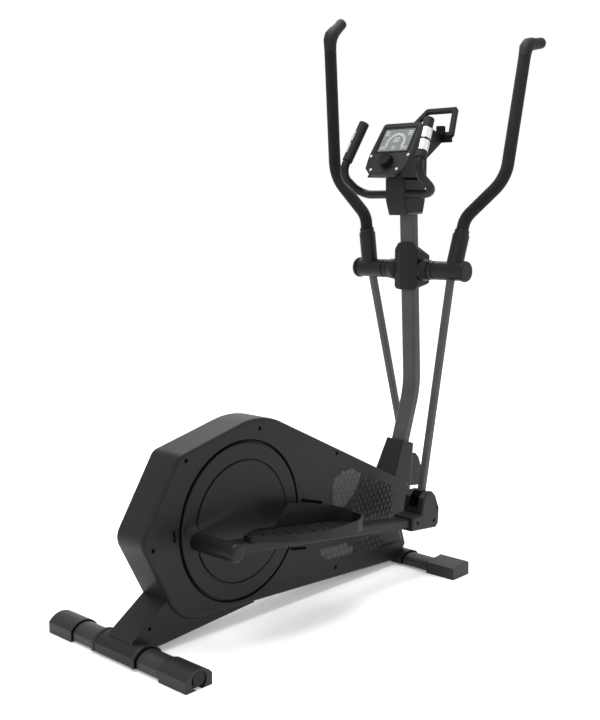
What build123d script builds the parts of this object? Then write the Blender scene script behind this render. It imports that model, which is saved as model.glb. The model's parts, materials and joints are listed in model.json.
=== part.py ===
from build123d import *
import math
import os

# An elliptical trainer. Worked in millimetres with x forward, y to the left and z up, from a crank axle at
# x = 0 and a floor at z = 0. At the end everything moves together so that the origin is under the middle.

# Clearances
FIT = 0.05
SEAT = 0.2
RUN = 0.4
SEAM = 0.3

# Linkage: crank, pedal arm, swing rod
AXLE_HEIGHT = 276.0
CRANK_RADIUS = 165.0
CRANK_REST = 185.0
ARM_LENGTH = 800.0
ROD_LENGTH = 673.0
SWING_X = 772.0
SWING_HEIGHT = 892.0

# Side covers, side view (forward, up) with a radius for each corner
BODY_CORNERS = [
    (-207, 481),
    (78, 550),
    (706, 247),
    (734, 200),
    (681, 108),
    (700, 55),
    (668, 12),
    (-213, 60),
    (-330, 285),
]
BODY_ROUNDS = [30, 230, 18, 12, 25, 12, 12, 120, 45]
BODY_HALF = 53.0
COVER_WALL = 3.0
COVER_EDGE = 9.0
LEDGE = 6.0
LEDGE_WALL = 2.0

# Stabilisers and their caps
REAR_FOOT_X = -340.0
REAR_FOOT_SIDE = 24.0
REAR_FOOT_CROWN = 44.0
FRONT_FOOT_X = 688.0
FRONT_FOOT_SIDE = 20.0
FRONT_FOOT_CROWN = 34.0
FOOT_WIDTH = 72.0
FOOT_BOTTOM = 6.0
FOOT_HALF = 240.0
FOOT_WALL = 2.5
CAP_WALL = 4.0
CAP_END = 25.0
CAP_LENGTH = 96.0
FRONT_LIP = 42.0
LIP_DROP = 6.0
LIP_BACK = 10.0
LIP_RISE = 2.0
DIAL_RADIUS = 18.0
DIAL_OFFSET = 4.0
DIAL_HEIGHT = 21.0
DIAL_DEPTH = 12.0
DIAL_PIN = 5.0
DIAL_PIN_INSET = 1.0
SADDLE_WALL = 5.0
REAR_SADDLE_HALF = 82.0
FRONT_SADDLE_HALF = 75.0

# Rear leg cover and the welded frame inside
LEG_CORNERS = [(-150, 140), (-235, 135), (-356, 53), (-356, 20), (-262, 20), (50, 42), (50, 80)]
LEG_HALF = 46.0
KEEL_REAR = -140.0
KEEL_FRONT = 636.0
KEEL_LIFT = 6.0
KEEL_HEIGHT = 38.0
KEEL_HALF = 25.0
KEEL_WALL = 3.0
STRUT_CORNERS = [(-120, 62), (-120, 98), (-225, 98), (-345, 50), (-345, 30), (-318, 30), (-240, 50)]
BRACKET_CORNERS = [(600, 28), (645, 28), (655, 35), (706, 35), (706, 46), (676, 56), (600, 56)]
STRUT_HALF = 20.0
BOLT_HEAD = 7.0
BOLT_SHANK = 4.0
BOLT_SPREAD = 30.0

# Post, its socket in the frame and its shroud
POST_FOOT = (652.6, 130.0)
POST_BEND = (788.0, 530.0)
POST_TOP = (756.6, SWING_HEIGHT + 238.0)
POST_BEND_RADIUS = 250.0
POST_DEPTH = 36.0
POST_WIDTH = 50.0
POST_ROUND = 10.0
POST_WALL = 2.0
STUB_WALL = 4.5
STUB_REACH = 100.0
SHROUD_BOTTOM = 232.0
SHROUD_TOP = 366.0
SHROUD_LOW = (104.0, 84.0)
SHROUD_HIGH = (66.0, 64.0)
SHROUD_WALL = 3.0

# Swing hub
HUB_BLOCK = (66.0, 88.0, 146.0)
HUB_BLOCK_RISE = 11.0
HUB_CHAMFER = 12.0
HUB_ROOT = (60.0, 124.0)
HUB_ROOT_AT = 38.0
HUB_ROOT_ROUND = 10.0
HUB_FLANGE = (58.0, 66.0)
HUB_FLANGE_AT = 72.0
HUB_FLANGE_ROUND = 26.0
HUB_SHOULDER_RISE = 3.0
HUB_COLLAR = 25.5
SWING_AXLE = 12.5
SLEEVE_INNER = 97.0
SLEEVE_OUTER = 196.0
SLEEVE_RADIUS = 25.0
SLEEVE_COVER = 28.0
SLEEVE_BORE = 20.0
BUSH_LENGTH = 18.0
BUSH_INSET = 1.0
TEE_CAP = 12.0
TEE_CAP_RADIUS = 31.0
TEE_CAP_ROUND = 7.0
TEE_PLUG = 6.0
WELD = 3.0

# Swing rod and its lower eye
ROD_Y = 153.0
ROD_SIDE = 20.0
ROD_ROUND = 4.0
EYE_RADIUS = 20.0
EYE_LENGTH = 28.0
PIVOT_BOLT = 8.0
PIVOT_HEAD = 13.0

# Handlebar, in a plane tilted forward of the rod
HANDLE_TILT = 8.0
SOCKET_Y = 158.0
SOCKET_TOP = 80.0
SOCKET_WALL = 5.0
BAR_RADIUS = 14.0
BAR_WALL = 2.0
BAR_START = 36.0
BAR_KNEE = (158.0, 165.0)
BAR_ELBOW = (269.0, 287.0)
BAR_HEAD = (239.0, 712.0)
BAR_KNEE_RADIUS = 60.0
BAR_ELBOW_RADIUS = 110.0
FOAM_START = 126.4
FOAM_END = 668.0
FOAM_RADIUS = 18.5
BAR_END = 690.0
HORN_TIP = (63.0, 244.0, 745.0)
HORN_RADIUS = 18.0
HORN_BEND = 36.0
SOCKET_COVER = 25.0
SOCKET_COVER_NECK = 22.0
SOCKET_COVER_SHOULDER = 112.0

# Pedal arm, in a frame from the crank pin towards the rod's eye
ARM_SLEEVE = 23.0
ARM_SLEEVE_ROUND = 8.0
ARM_SLEEVE_INNER = 70.0
ARM_SLEEVE_OUTER = 212.0
ARM_BORE = 15.0
ARM_BORE_DEPTH = 128.0
ARM_TUBE_WIDTH = 50.0
ARM_TUBE_HEIGHT = 25.0
ARM_TUBE_WALL = 2.0
ARM_TUBE_ROUND = 4.0
ARM_TUBE_LAP = 6.0
ARM_TUBE_PLUG = 4.0
ARM_TUBE_DROP = 65.0
ARM_TUBE_END = 740.0
CHEEK = 6.0
CHEEK_RADIUS = 16.0
CHEEK_RISE = 3.0
CHEEK_TAIL = 20.0
HOUSING_HALF = 35.0
HOUSING_WALL = 3.0
HOUSING_CHAMFER = 4.0
HOUSING_SPAN = 200.0
HOUSING_CORNERS = [
    (-82, -84),
    (-82, -46),
    (-38, -42),
    (-30, 5),
    (-12, 20),
    (12, 20),
    (30, 5),
    (49, -35),
    (47, -82),
    (36, -92),
]
HOUSING_SLOT = 16.0
HOUSING_SLOT_FLOOR = -26.0

# Pedal, on top of the arm's tube: outline (along, outward), wall heights (along, up)
PEDAL_CORNERS = [
    (72, 150),
    (72, 180),
    (190, 226),
    (300, 236),
    (430, 228),
    (485, 195),
    (492, 150),
    (470, 118),
    (430, 108),
    (150, 108),
]
PEDAL_ROUNDS = [12, 12, 120, 200, 60, 30, 30, 30, 40, 60]
PEDAL_FLOOR = 8.0
PEDAL_WALL = 5.0
PEDAL_SPLIT = 150.0
PEDAL_INNER_WALL = [(60, 0), (60, 12), (225, 14), (268, 70), (440, 54), (500, 40), (500, 0)]
PEDAL_OUTER_WALL = [(60, 0), (60, 14), (190, 18), (330, 22), (430, 34), (500, 40), (500, 0)]

# Crank, discs and drive
AXLE_RADIUS = 10.0
AXLE_HALF = 48.0
AXLE_ROOM = 2.0
CRANK_INNER = 39.0
CRANK_OUTER = 47.0
CRANK_HUB = 26.0
CRANK_EYE = 22.0
HOUSING_TUBE = 26.0
HOUSING_UPRIGHT = 48.0
BEARING_OUTER = 20.0
BEARING_LENGTH = 12.0
DISC_RADIUS = 204.0
DISC_GAP = 5.0
DISC_CHAMFER = 2.0
DISC_BACK = 49.5
DISC_FACE = 56.0
DISC_DISH = 1.5
GROOVE_RADIUS = 159.0
GROOVE_WIDTH = 3.0
GROOVE_DEPTH = 2.0
FAIRING_HUB = 46.0
FAIRING_EYE = 29.0
FAIRING_FACE = 66.0
FAIRING_ROUND = 7.0
COLLAR_WALL = 3.5
COLLAR_DEPTH = 9.0
PULLEY_RADIUS = 130.0
PULLEY_LOW = 29.0
PULLEY_HIGH = 37.0
PULLEY_HOLE = 26.0
PULLEY_HOLE_RING = 78.0
HUB_PULLEY = 22.0
BELT_THICKNESS = 3.0
BELT_GAP = 0.3
BELT_INSET = 1.0

# Flywheel and magnet brake
FLYWHEEL_AT = (335.0, 235.0)
FLYWHEEL_RADIUS = 105.0
FLYWHEEL_LOW = -20.0
FLYWHEEL_HIGH = 18.0
FLYWHEEL_AXLE = 8.0
FLYWHEEL_STUB = 3.0
FLYWHEEL_HUB = 30.0
FLYWHEEL_RIM = 84.0
FORK_WALL = 4.0
FORK_GAP = 6.0
FORK_WIDTH = 60.0
FORK_TOP = 22.0
BRAKE_GAP = 4.0
BRAKE_THICKNESS = 12.0
BRAKE_HALF = 18.0
BRAKE_SIDE = 2.0
BRAKE_PIN = 5.0
BRAKE_PIN_ANGLE = 10.0
BRAKE_ANGLES = (4.0, 84.0)
BRAKE_PLATE = 4.0
BRAKE_PLATE_WIDTH = 24.0
MOTOR_AT = 540.0
MOTOR_SIZE = (56.0, 44.0, 40.0)
MOTOR_PLINTH = 64.0

# Console: neck, housing behind the panel, panel face, at heights that go with the swing hub
NECK_TOP = SWING_HEIGHT + 273.8
NECK_CORNERS = [
    (688, NECK_TOP),
    (690, NECK_TOP - 67.8),
    (706, NECK_TOP - 109.8),
    (785, NECK_TOP - 105.8),
    (795, NECK_TOP - 65.8),
    (795, NECK_TOP),
]
NECK_CHAMFER = 6.0
NECK_HALF = 38.0
PANEL_AT = (672.5, NECK_TOP + 78.2)
PANEL_SLOPE = (0.553, 0.833)
PANEL_THICKNESS = 12.0
PANEL_CORNERS = [
    (70, 100),
    (78, -15),
    (72, -60),
    (45, -85),
    (-45, -85),
    (-72, -60),
    (-78, -15),
    (-70, 100),
]
PANEL_ROUNDS = [10, 60, 14, 14, 14, 14, 60, 10]
HOUSING_BACK = [
    (772, NECK_TOP + 150.2),
    (838, NECK_TOP + 130.2),
    (838, NECK_TOP + 106.2),
    (764, NECK_TOP + 56.2),
    (764, NECK_TOP + SEAT),
]
CONSOLE_HALF = 62.0
CONSOLE_WALL = 3.0
DISPLAY_WIDTH = 110.0
DISPLAY_HEIGHT = 80.0
DISPLAY_THICKNESS = 4.0
DISPLAY_SUNK = 1.5
KNOB_AT = (0.0, -38.0)
KNOB_RADIUS = 22.0
KNOB_HEIGHT = 17.0
KNOB_CHAMFER = 2.0
KNOB_SHAFT = 4.0
KEY_RADIUS = 4.5
KEY_PROUD = 1.5
KEY_LENGTH = 8.0
KEY_TRAVEL = 1.0
KEYS = {
    "key_upper_left": (-69, -17),
    "key_upper_right": (69, -17),
    "key_lower_left": (-48, -66),
    "key_lower_right": (48, -66),
}

# Tablet holder: a tapered frame leaning away behind the console, on a shelf with two stops
HOLDER_FOOT = (846.0, NECK_TOP + 129.2)
HOLDER_HEAD = (920.0, NECK_TOP + 209.2)
HOLDER_LOW_HALF = 90.0
HOLDER_HIGH_HALF = 52.0
HOLDER_BAR = 15.0
HOLDER_DEPTH = 12.0
SHELF_DEPTH = 14.0
SHELF_HEIGHT = 22.0
STOP_Y = 62.0
STOP_SIZE = (20.0, 20.0, 26.0)

# Pulse bar
PULSE_RADIUS = 12.5
PULSE_WALL = 2.0
PULSE_TOP = (691.0, 121.0, NECK_TOP + 162.2)
PULSE_ELBOW = (610.0, 141.0, NECK_TOP + 12.2)
PULSE_CORNER = (704.0, 141.0, NECK_TOP - 47.8)
PULSE_ELBOW_RADIUS = 40.0
PULSE_CORNER_RADIUS = 45.0
GRIP_RADIUS = 15.5
GRIP_START = 44.0
GRIP_CAP = 3.0
PAD_RADIUS = 17.0
PAD_LENGTH = 33.0
PAD_GAP = 7.0
PAD_START = 66.0

# Cover screws, side view
SCREWS = [(67, 509), (-186, 466), (373, 392), (-293, 264), (369, 60)]
SCREW_HEAD = 5.7
SCREW_SHANK = 2.5
SCREW_SUNK = 1.5
SCREW_LENGTH = 14.0
SCREW_SLOT = 1.2

# Sizes that follow
FOAM_BORE = BAR_RADIUS + FIT
CAP_HALF = FOOT_HALF + CAP_END
FLYWHEEL_X, FLYWHEEL_Z = FLYWHEEL_AT
UP = Vector(PANEL_SLOPE[0], 0, PANEL_SLOPE[1]).normalized()
PANEL = Plane(origin=(PANEL_AT[0], 0, PANEL_AT[1]), x_dir=(0, -1, 0), z_dir=Vector(0, -1, 0).cross(UP))
ARM_SLOPE = math.degrees(math.atan2(ARM_TUBE_DROP, ARM_TUBE_END))


def flat(points, radii=None):
    """A flat face from its corners, rounded where radii are given."""
    if radii is None:
        return make_face(Polyline(*points, close=True).edges())
    return make_face(FilletPolyline(*points, radius=radii, close=True).edges())


def slab(face, low, high):
    """A side-view face made solid from y = low to y = high."""
    return extrude(Plane.XZ.offset(-high) * face, amount=high - low, dir=(0, -1, 0))


def drum(radius, low, high, x=0.0, z=0.0):
    """A cylinder across the machine from y = low to y = high."""
    return Pos(x, (low + high) / 2, z) * Rot(90, 0, 0) * Cylinder(radius, high - low)


def hull(first, first_radius, second, second_radius):
    """A flat link with a round end at each of two points."""
    ends = Pos(*first) * Circle(first_radius) + Pos(*second) * Circle(second_radius)
    return make_hull(ends.edges())


def rod_along(points, radii, radius):
    """A round bar along straight runs joined by arcs."""
    path = FilletPolyline(*points, radius=radii)
    return sweep(Plane(origin=path @ 0, z_dir=path % 0) * Circle(radius), path=path)


def other_side(piece):
    """The same piece on the right of the machine."""
    return mirror(piece, about=Plane.XZ)


def linkage(crank_angle):
    """Crank pin, rod's eye, lean of the rod and pitch of the pedal arm at a crank angle, in degrees."""
    turn = math.radians(crank_angle)
    pin = (CRANK_RADIUS * math.cos(turn), AXLE_HEIGHT + CRANK_RADIUS * math.sin(turn))
    back = SWING_X - pin[0]
    down = SWING_HEIGHT - pin[1]
    reach = math.hypot(back, down)
    bend = math.acos((ROD_LENGTH**2 + reach**2 - ARM_LENGTH**2) / (2 * ROD_LENGTH * reach))
    lean = bend - math.atan2(back, down)
    joint = (SWING_X + ROD_LENGTH * math.sin(lean), SWING_HEIGHT - ROD_LENGTH * math.cos(lean))
    pitch = math.atan2(joint[1] - pin[1], joint[0] - pin[0])
    return {"pin": pin, "joint": joint, "lean": math.degrees(lean), "pitch": math.degrees(pitch)}


def underside(x):
    """Height of the side covers' underside at x."""
    front, rear = BODY_CORNERS[6], BODY_CORNERS[7]
    return rear[1] + (front[1] - rear[1]) * (x - rear[0]) / (front[0] - rear[0])


def body_block(gap=0.0):
    """The space that the two side covers fill together."""
    return slab(offset(flat(BODY_CORNERS, BODY_ROUNDS), gap), -BODY_HALF - gap, BODY_HALF + gap)


def foot_face(centre, side, crown, grow=0.0, bottom=None):
    """A stabiliser's arched section, grown by a wall or a gap."""
    half = FOOT_WIDTH / 2 + grow
    low = FOOT_BOTTOM - grow if bottom is None else bottom
    shoulder = side + grow
    rear, front = centre - half, centre + half
    walls = Polyline((rear, shoulder), (rear, low), (front, low), (front, shoulder))
    arch = ThreePointArc((front, shoulder), (centre, crown + grow), (rear, shoulder))
    return make_face((walls + arch).edges())


def rear_face(grow=0.0, bottom=None):
    return foot_face(REAR_FOOT_X, REAR_FOOT_SIDE, REAR_FOOT_CROWN, grow, bottom)


def front_face(grow=0.0, bottom=None):
    return foot_face(FRONT_FOOT_X, FRONT_FOOT_SIDE, FRONT_FOOT_CROWN, grow, bottom)


def stabiliser(section):
    """A hollow cross tube with holes for its two frame bolts."""
    tube = slab(section(), -FOOT_HALF, FOOT_HALF)
    tube -= slab(offset(section(), -FOOT_WALL), -FOOT_HALF, FOOT_HALF)
    return tube - bolt_shanks(section, FIT)


def bolt_shanks(section, gap=0.0):
    centre = section().center()
    shanks = [
        Pos(centre.X, y, FOOT_BOTTOM + FOOT_WALL) * Cylinder(BOLT_SHANK + gap, 2 * FOOT_WALL)
        for y in (-BOLT_SPREAD, BOLT_SPREAD)
    ]
    return Part() + shanks


def frame_bolts():
    """Two bolts under each stabiliser, heads below the tube."""
    bolts = []
    for section in (rear_face, front_face):
        centre = section().center()
        head_height = FOOT_BOTTOM / 2
        for y in (-BOLT_SPREAD, BOLT_SPREAD):
            head = Pos(centre.X, y, FOOT_BOTTOM - head_height / 2) * Cylinder(BOLT_HEAD, head_height)
            shank = Pos(centre.X, y, FOOT_BOTTOM + FOOT_WALL) * Cylinder(BOLT_SHANK, 2 * FOOT_WALL)
            bolts.append(head + shank)
    return Part() + bolts


def dial_pocket_floor():
    return CAP_HALF - DIAL_DEPTH - 2 * SEAT


def foot_caps():
    """Moulded ends of both stabilisers; the rear pair hold the level dials."""
    start = CAP_HALF - CAP_LENGTH
    rear = slab(rear_face(CAP_WALL, 0.0), start, CAP_HALF)
    rear -= slab(rear_face(SEAT), start, FOOT_HALF + SEAT)
    rear -= drum(DIAL_RADIUS + DIAL_OFFSET + RUN, dial_pocket_floor(), CAP_HALF, REAR_FOOT_X, DIAL_HEIGHT)
    rear += drum(DIAL_PIN, FOOT_HALF + DIAL_PIN_INSET, CAP_HALF - DIAL_PIN_INSET, REAR_FOOT_X, DIAL_HEIGHT)
    half = FOOT_WIDTH / 2 + CAP_WALL
    top = FRONT_FOOT_CROWN
    lip = flat(
        [
            (FRONT_FOOT_X - half, 0),
            (FRONT_FOOT_X + half, 0),
            (FRONT_FOOT_X + half, FRONT_LIP - LIP_DROP),
            (FRONT_FOOT_X + half - LIP_BACK, FRONT_LIP),
            (FRONT_FOOT_X + half / 2, top + CAP_WALL + LIP_RISE),
            (FRONT_FOOT_X - half / 2, top + CAP_WALL),
            (FRONT_FOOT_X - half, top),
        ]
    )
    front = slab(lip, start, CAP_HALF)
    front -= slab(front_face(SEAT), start, FOOT_HALF + SEAT)
    return Part() + [rear, other_side(rear), front, other_side(front)]


def level_dial():
    """An eccentric foot that turns on the rear cap's pin."""
    low = dial_pocket_floor() + SEAT
    dial = drum(DIAL_RADIUS, low, CAP_HALF - SEAT, REAR_FOOT_X, DIAL_HEIGHT + DIAL_OFFSET)
    end = CAP_HALF - DIAL_PIN_INSET + SEAT
    return dial - drum(DIAL_PIN + FIT, FOOT_HALF, end, REAR_FOOT_X, DIAL_HEIGHT)


def strut_block(gap=0.0):
    return slab(offset(flat(STRUT_CORNERS), gap), -STRUT_HALF - gap, STRUT_HALF + gap)


def bracket_block(gap=0.0):
    return slab(offset(flat(BRACKET_CORNERS), gap), -STRUT_HALF - gap, STRUT_HALF + gap)


def post_axis():
    return Plane(
        origin=(POST_FOOT[0], 0, POST_FOOT[1]),
        x_dir=(0, 1, 0),
        z_dir=(POST_BEND[0] - POST_FOOT[0], 0, POST_BEND[1] - POST_FOOT[1]),
    )


def post_block(gap=0.0):
    """The bent post as a solid bar, grown by a gap."""
    points = [(POST_FOOT[0], 0, POST_FOOT[1]), (POST_BEND[0], 0, POST_BEND[1]), (POST_TOP[0], 0, POST_TOP[1])]
    path = FilletPolyline(*points, radius=POST_BEND_RADIUS)
    section = RectangleRounded(POST_WIDTH + 2 * gap, POST_DEPTH + 2 * gap, POST_ROUND + gap)
    return sweep(post_axis() * section, path=path)


def console_post():
    post = post_block() - post_block(-POST_WALL)
    return post - drum(SWING_AXLE + FIT, -POST_WIDTH, POST_WIDTH, SWING_X, SWING_HEIGHT)


def keel():
    """The hollow box beam along the machine, parallel to the covers' underside."""
    low, high = KEEL_LIFT, KEEL_LIFT + KEEL_HEIGHT
    ends = ((KEEL_REAR, low), (KEEL_FRONT, low), (KEEL_FRONT, high), (KEEL_REAR, high))
    beam = flat([(x, underside(x) + lift) for x, lift in ends])
    inside = KEEL_HALF - KEEL_WALL
    return slab(beam, -KEEL_HALF, KEEL_HALF) - slab(offset(beam, -KEEL_WALL), -inside, inside)


def keel_top(x):
    return underside(x) + KEEL_LIFT + KEEL_HEIGHT


def upright(x, width, top, low, high):
    """A plate standing on the keel."""
    base = keel_top(x) - KEEL_WALL
    rear, front = x - width / 2, x + width / 2
    return slab(flat([(rear, base), (front, base), (front, top), (rear, top)]), low, high)


def brake_pivot():
    turn = math.radians(BRAKE_PIN_ANGLE)
    middle = FLYWHEEL_RADIUS + BRAKE_GAP + BRAKE_THICKNESS / 2
    return FLYWHEEL_X + middle * math.cos(turn), FLYWHEEL_Z + middle * math.sin(turn)


def main_frame():
    """Keel, crank housing, post socket, flywheel fork, brake plates and both stabiliser seats, welded."""
    frame = keel() + strut_block() + bracket_block()
    frame += upright(0.0, HOUSING_UPRIGHT, AXLE_HEIGHT, -BEARING_LENGTH, BEARING_LENGTH)
    frame += drum(HOUSING_TUBE, -HOUSING_TUBE, HOUSING_TUBE, 0, AXLE_HEIGHT)
    frame -= drum(AXLE_RADIUS + AXLE_ROOM, -HOUSING_TUBE, HOUSING_TUBE, 0, AXLE_HEIGHT)
    for bearing in bearing_seats():
        frame -= drum(BEARING_OUTER, *bearing, 0, AXLE_HEIGHT)
    stub = RectangleRounded(POST_WIDTH + 2 * STUB_WALL, POST_DEPTH + 2 * STUB_WALL, POST_ROUND)
    frame += extrude(post_axis().offset(-STUB_REACH) * stub, amount=2 * STUB_REACH)
    frame -= post_block(SEAT)
    top = FLYWHEEL_Z + FORK_TOP
    low = FLYWHEEL_LOW - FORK_GAP - FORK_WALL
    high = PULLEY_HIGH + FORK_GAP
    frame += upright(FLYWHEEL_X, FORK_WIDTH, top, low, low + FORK_WALL)
    frame += upright(FLYWHEEL_X, FORK_WIDTH, top, high - FORK_WALL, high)
    base = keel_top(FLYWHEEL_X)
    frame += Pos(FLYWHEEL_X, (low + high) / 2, base) * Box(FORK_WIDTH, high - low, 2 * FORK_WALL)
    frame -= drum(FLYWHEEL_AXLE + FIT, low, high, *FLYWHEEL_AT)
    pin_x, pin_z = brake_pivot()
    for low in (-BRAKE_HALF - BRAKE_SIDE - BRAKE_PLATE, BRAKE_HALF + BRAKE_SIDE):
        frame += upright(pin_x, BRAKE_PLATE_WIDTH, pin_z + 3 * BRAKE_PIN, low, low + BRAKE_PLATE)
    frame -= drum(BRAKE_PIN + FIT, -KEEL_HALF, KEEL_HALF, pin_x, pin_z)
    frame += upright(MOTOR_AT, MOTOR_PLINTH, motor_seat(), -MOTOR_SIZE[1] / 2, MOTOR_SIZE[1] / 2)
    frame -= slab(rear_face(SEAT), -FOOT_HALF, FOOT_HALF)
    return frame - slab(front_face(SEAT), -FOOT_HALF, FOOT_HALF)


def motor_seat():
    return keel_top(MOTOR_AT - MOTOR_SIZE[0]) + FORK_WALL


def brake_motor():
    """The small gear motor that draws the magnet brake."""
    length, width, height = MOTOR_SIZE
    body = Pos(MOTOR_AT, 0, motor_seat() + height / 2) * Box(length, width, height)
    return body + drum(height / 4, width / 2, width / 2 + FORK_GAP, MOTOR_AT, motor_seat() + height / 2)


def bearing_seats():
    end = HOUSING_TUBE
    return (-end, -end + BEARING_LENGTH), (end - BEARING_LENGTH, end)


def crank_bearings():
    rings = []
    for low, high in bearing_seats():
        ring = drum(BEARING_OUTER - FIT, low, high, 0, AXLE_HEIGHT)
        rings.append(ring - drum(AXLE_RADIUS + FIT, low, high, 0, AXLE_HEIGHT))
    return Part() + rings


def rear_leg_cover():
    """The hollow leg under the covers with a saddle over the rear stabiliser."""
    leg = flat(LEG_CORNERS)
    cover = slab(leg, -LEG_HALF, LEG_HALF)
    cover += slab(rear_face(SADDLE_WALL, FOOT_BOTTOM), -REAR_SADDLE_HALF, REAR_SADDLE_HALF)
    inside = LEG_HALF - COVER_WALL
    cover -= slab(offset(leg, -COVER_WALL), -inside, inside)
    cover -= slab(rear_face(SEAT), -FOOT_HALF, FOOT_HALF)
    return cover - body_block(SEAT) - strut_block(SEAT)


def saddle_block(gap=0.0):
    face = front_face(SADDLE_WALL + gap, FOOT_BOTTOM - gap)
    return slab(face, -FRONT_SADDLE_HALF - gap, FRONT_SADDLE_HALF + gap)


def front_saddle():
    """The arch over the front stabiliser that the covers stand on."""
    saddle = saddle_block() - slab(front_face(SEAT, FOOT_BOTTOM - SEAT), -FOOT_HALF, FOOT_HALF)
    return saddle - bracket_block(SEAT)


def body_cover():
    """The left side cover: a shell with a round opening for the crank disc and a ledge behind its gap."""
    face = flat(BODY_CORNERS, BODY_ROUNDS)
    outer = slab(face, SEAM / 2, BODY_HALF)
    outer = fillet(outer.faces().sort_by(Axis.Y)[-1].edges(), COVER_EDGE)
    inner = slab(offset(face, -COVER_WALL), -SEAM, BODY_HALF - COVER_WALL)
    inner = fillet(inner.faces().sort_by(Axis.Y)[-1].edges(), COVER_EDGE - COVER_WALL)
    cover = outer - inner
    opening = DISC_RADIUS + DISC_GAP
    ledge = BODY_HALF - COLLAR_DEPTH
    cover += drum(opening + COLLAR_WALL, ledge, BODY_HALF - COVER_WALL / 2, 0, AXLE_HEIGHT)
    cover -= drum(opening, ledge + LEDGE_WALL, 2 * BODY_HALF, 0, AXLE_HEIGHT)
    cover -= drum(DISC_RADIUS - LEDGE, 0, 2 * BODY_HALF, 0, AXLE_HEIGHT)
    for x, z in SCREWS:
        cover -= drum(SCREW_HEAD + SEAT, BODY_HALF - SCREW_SUNK, BODY_HALF, x, z)
        cover -= drum(SCREW_SHANK + FIT, BODY_HALF - 2 * COVER_WALL, BODY_HALF, x, z)
    cover -= strut_block(SEAT) + bracket_block(SEAT)
    return cover - post_block(SEAT) - saddle_block(SEAT)


def cover_screws():
    screws = []
    for x, z in SCREWS:
        seat = BODY_HALF - SCREW_SUNK
        head = drum(SCREW_HEAD, seat, BODY_HALF - SEAT, x, z)
        head -= Pos(x, BODY_HALF, z) * Box(2 * SCREW_HEAD, SCREW_SUNK, SCREW_SLOT)
        screw = head + drum(SCREW_SHANK, seat - SCREW_LENGTH, seat, x, z)
        screws += [screw, other_side(screw)]
    return Part() + screws


def post_at(height):
    """Where the post's axis is at a height on its lower run."""
    share = (height - POST_FOOT[1]) / (POST_BEND[1] - POST_FOOT[1])
    return POST_FOOT[0] + share * (POST_BEND[0] - POST_FOOT[0])


def post_shroud():
    """A tapered shell round the post where it leaves the covers."""

    def taper(wall):
        faces = []
        for height, (length, width) in ((SHROUD_BOTTOM, SHROUD_LOW), (SHROUD_TOP, SHROUD_HIGH)):
            base = Plane(origin=(post_at(height), 0, height), x_dir=(0, 1, 0), z_dir=post_axis().z_dir)
            faces.append(base * RectangleRounded(width - 2 * wall, length - 2 * wall, POST_ROUND))
        return loft(faces, ruled=True)

    outer = taper(0.0)
    top = Plane(origin=(post_at(SHROUD_TOP), 0, SHROUD_TOP), x_dir=(0, 1, 0), z_dir=post_axis().z_dir)
    length, width = SHROUD_LOW
    lid = extrude(top.offset(-SHROUD_WALL) * Rectangle(2 * width, 2 * length), amount=2 * SHROUD_WALL)
    inner = taper(SHROUD_WALL) - lid
    return outer - inner - body_block(SEAT) - post_block(SEAT)


def hub_section(y, rise):
    """The plane of a hub section beside the post."""
    return Plane(origin=(SWING_X, y, SWING_HEIGHT + rise), x_dir=(1, 0, 0), z_dir=(0, 1, 0))


def hub_shoulder():
    """The tapered side of the hub, from its block out to the collar."""
    root = hub_section(HUB_ROOT_AT, HUB_SHOULDER_RISE) * RectangleRounded(*HUB_ROOT, HUB_ROOT_ROUND)
    flange = hub_section(HUB_FLANGE_AT, 0.0) * RectangleRounded(*HUB_FLANGE, HUB_FLANGE_ROUND)
    return loft([root, flange])


def hub_cover():
    """The block on the post that carries the swing axle."""
    block = Pos(SWING_X, 0, SWING_HEIGHT + HUB_BLOCK_RISE) * Box(*HUB_BLOCK)
    block = chamfer(block.edges().filter_by(Axis.Z), HUB_CHAMFER)
    shoulder = hub_shoulder()
    collar = SLEEVE_INNER - RUN
    hub = block + shoulder + other_side(shoulder) + drum(HUB_COLLAR, -collar, collar, SWING_X, SWING_HEIGHT)
    hub -= drum(SWING_AXLE + FIT, -collar, collar, SWING_X, SWING_HEIGHT)
    return hub - post_block(SEAT)


def axle_end():
    return SLEEVE_OUTER - TEE_PLUG - BUSH_INSET


def swing_axle():
    return drum(SWING_AXLE, -axle_end(), axle_end(), SWING_X, SWING_HEIGHT)


def swing_bushings():
    """Two plain bushes on the axle inside each sleeve."""
    starts = (SLEEVE_INNER + BUSH_INSET, axle_end() - BUSH_INSET - BUSH_LENGTH)
    bushes = []
    for low in starts:
        bush = drum(SLEEVE_BORE - FIT, low, low + BUSH_LENGTH, SWING_X, SWING_HEIGHT)
        bush -= drum(SWING_AXLE + FIT, low, low + BUSH_LENGTH, SWING_X, SWING_HEIGHT)
        bushes += [bush, other_side(bush)]
    return Part() + bushes


def upward(radius, low, high):
    """A cylinder along the handle's socket."""
    return Pos(0, SOCKET_Y, (low + high) / 2) * Cylinder(radius, high - low)


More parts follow.
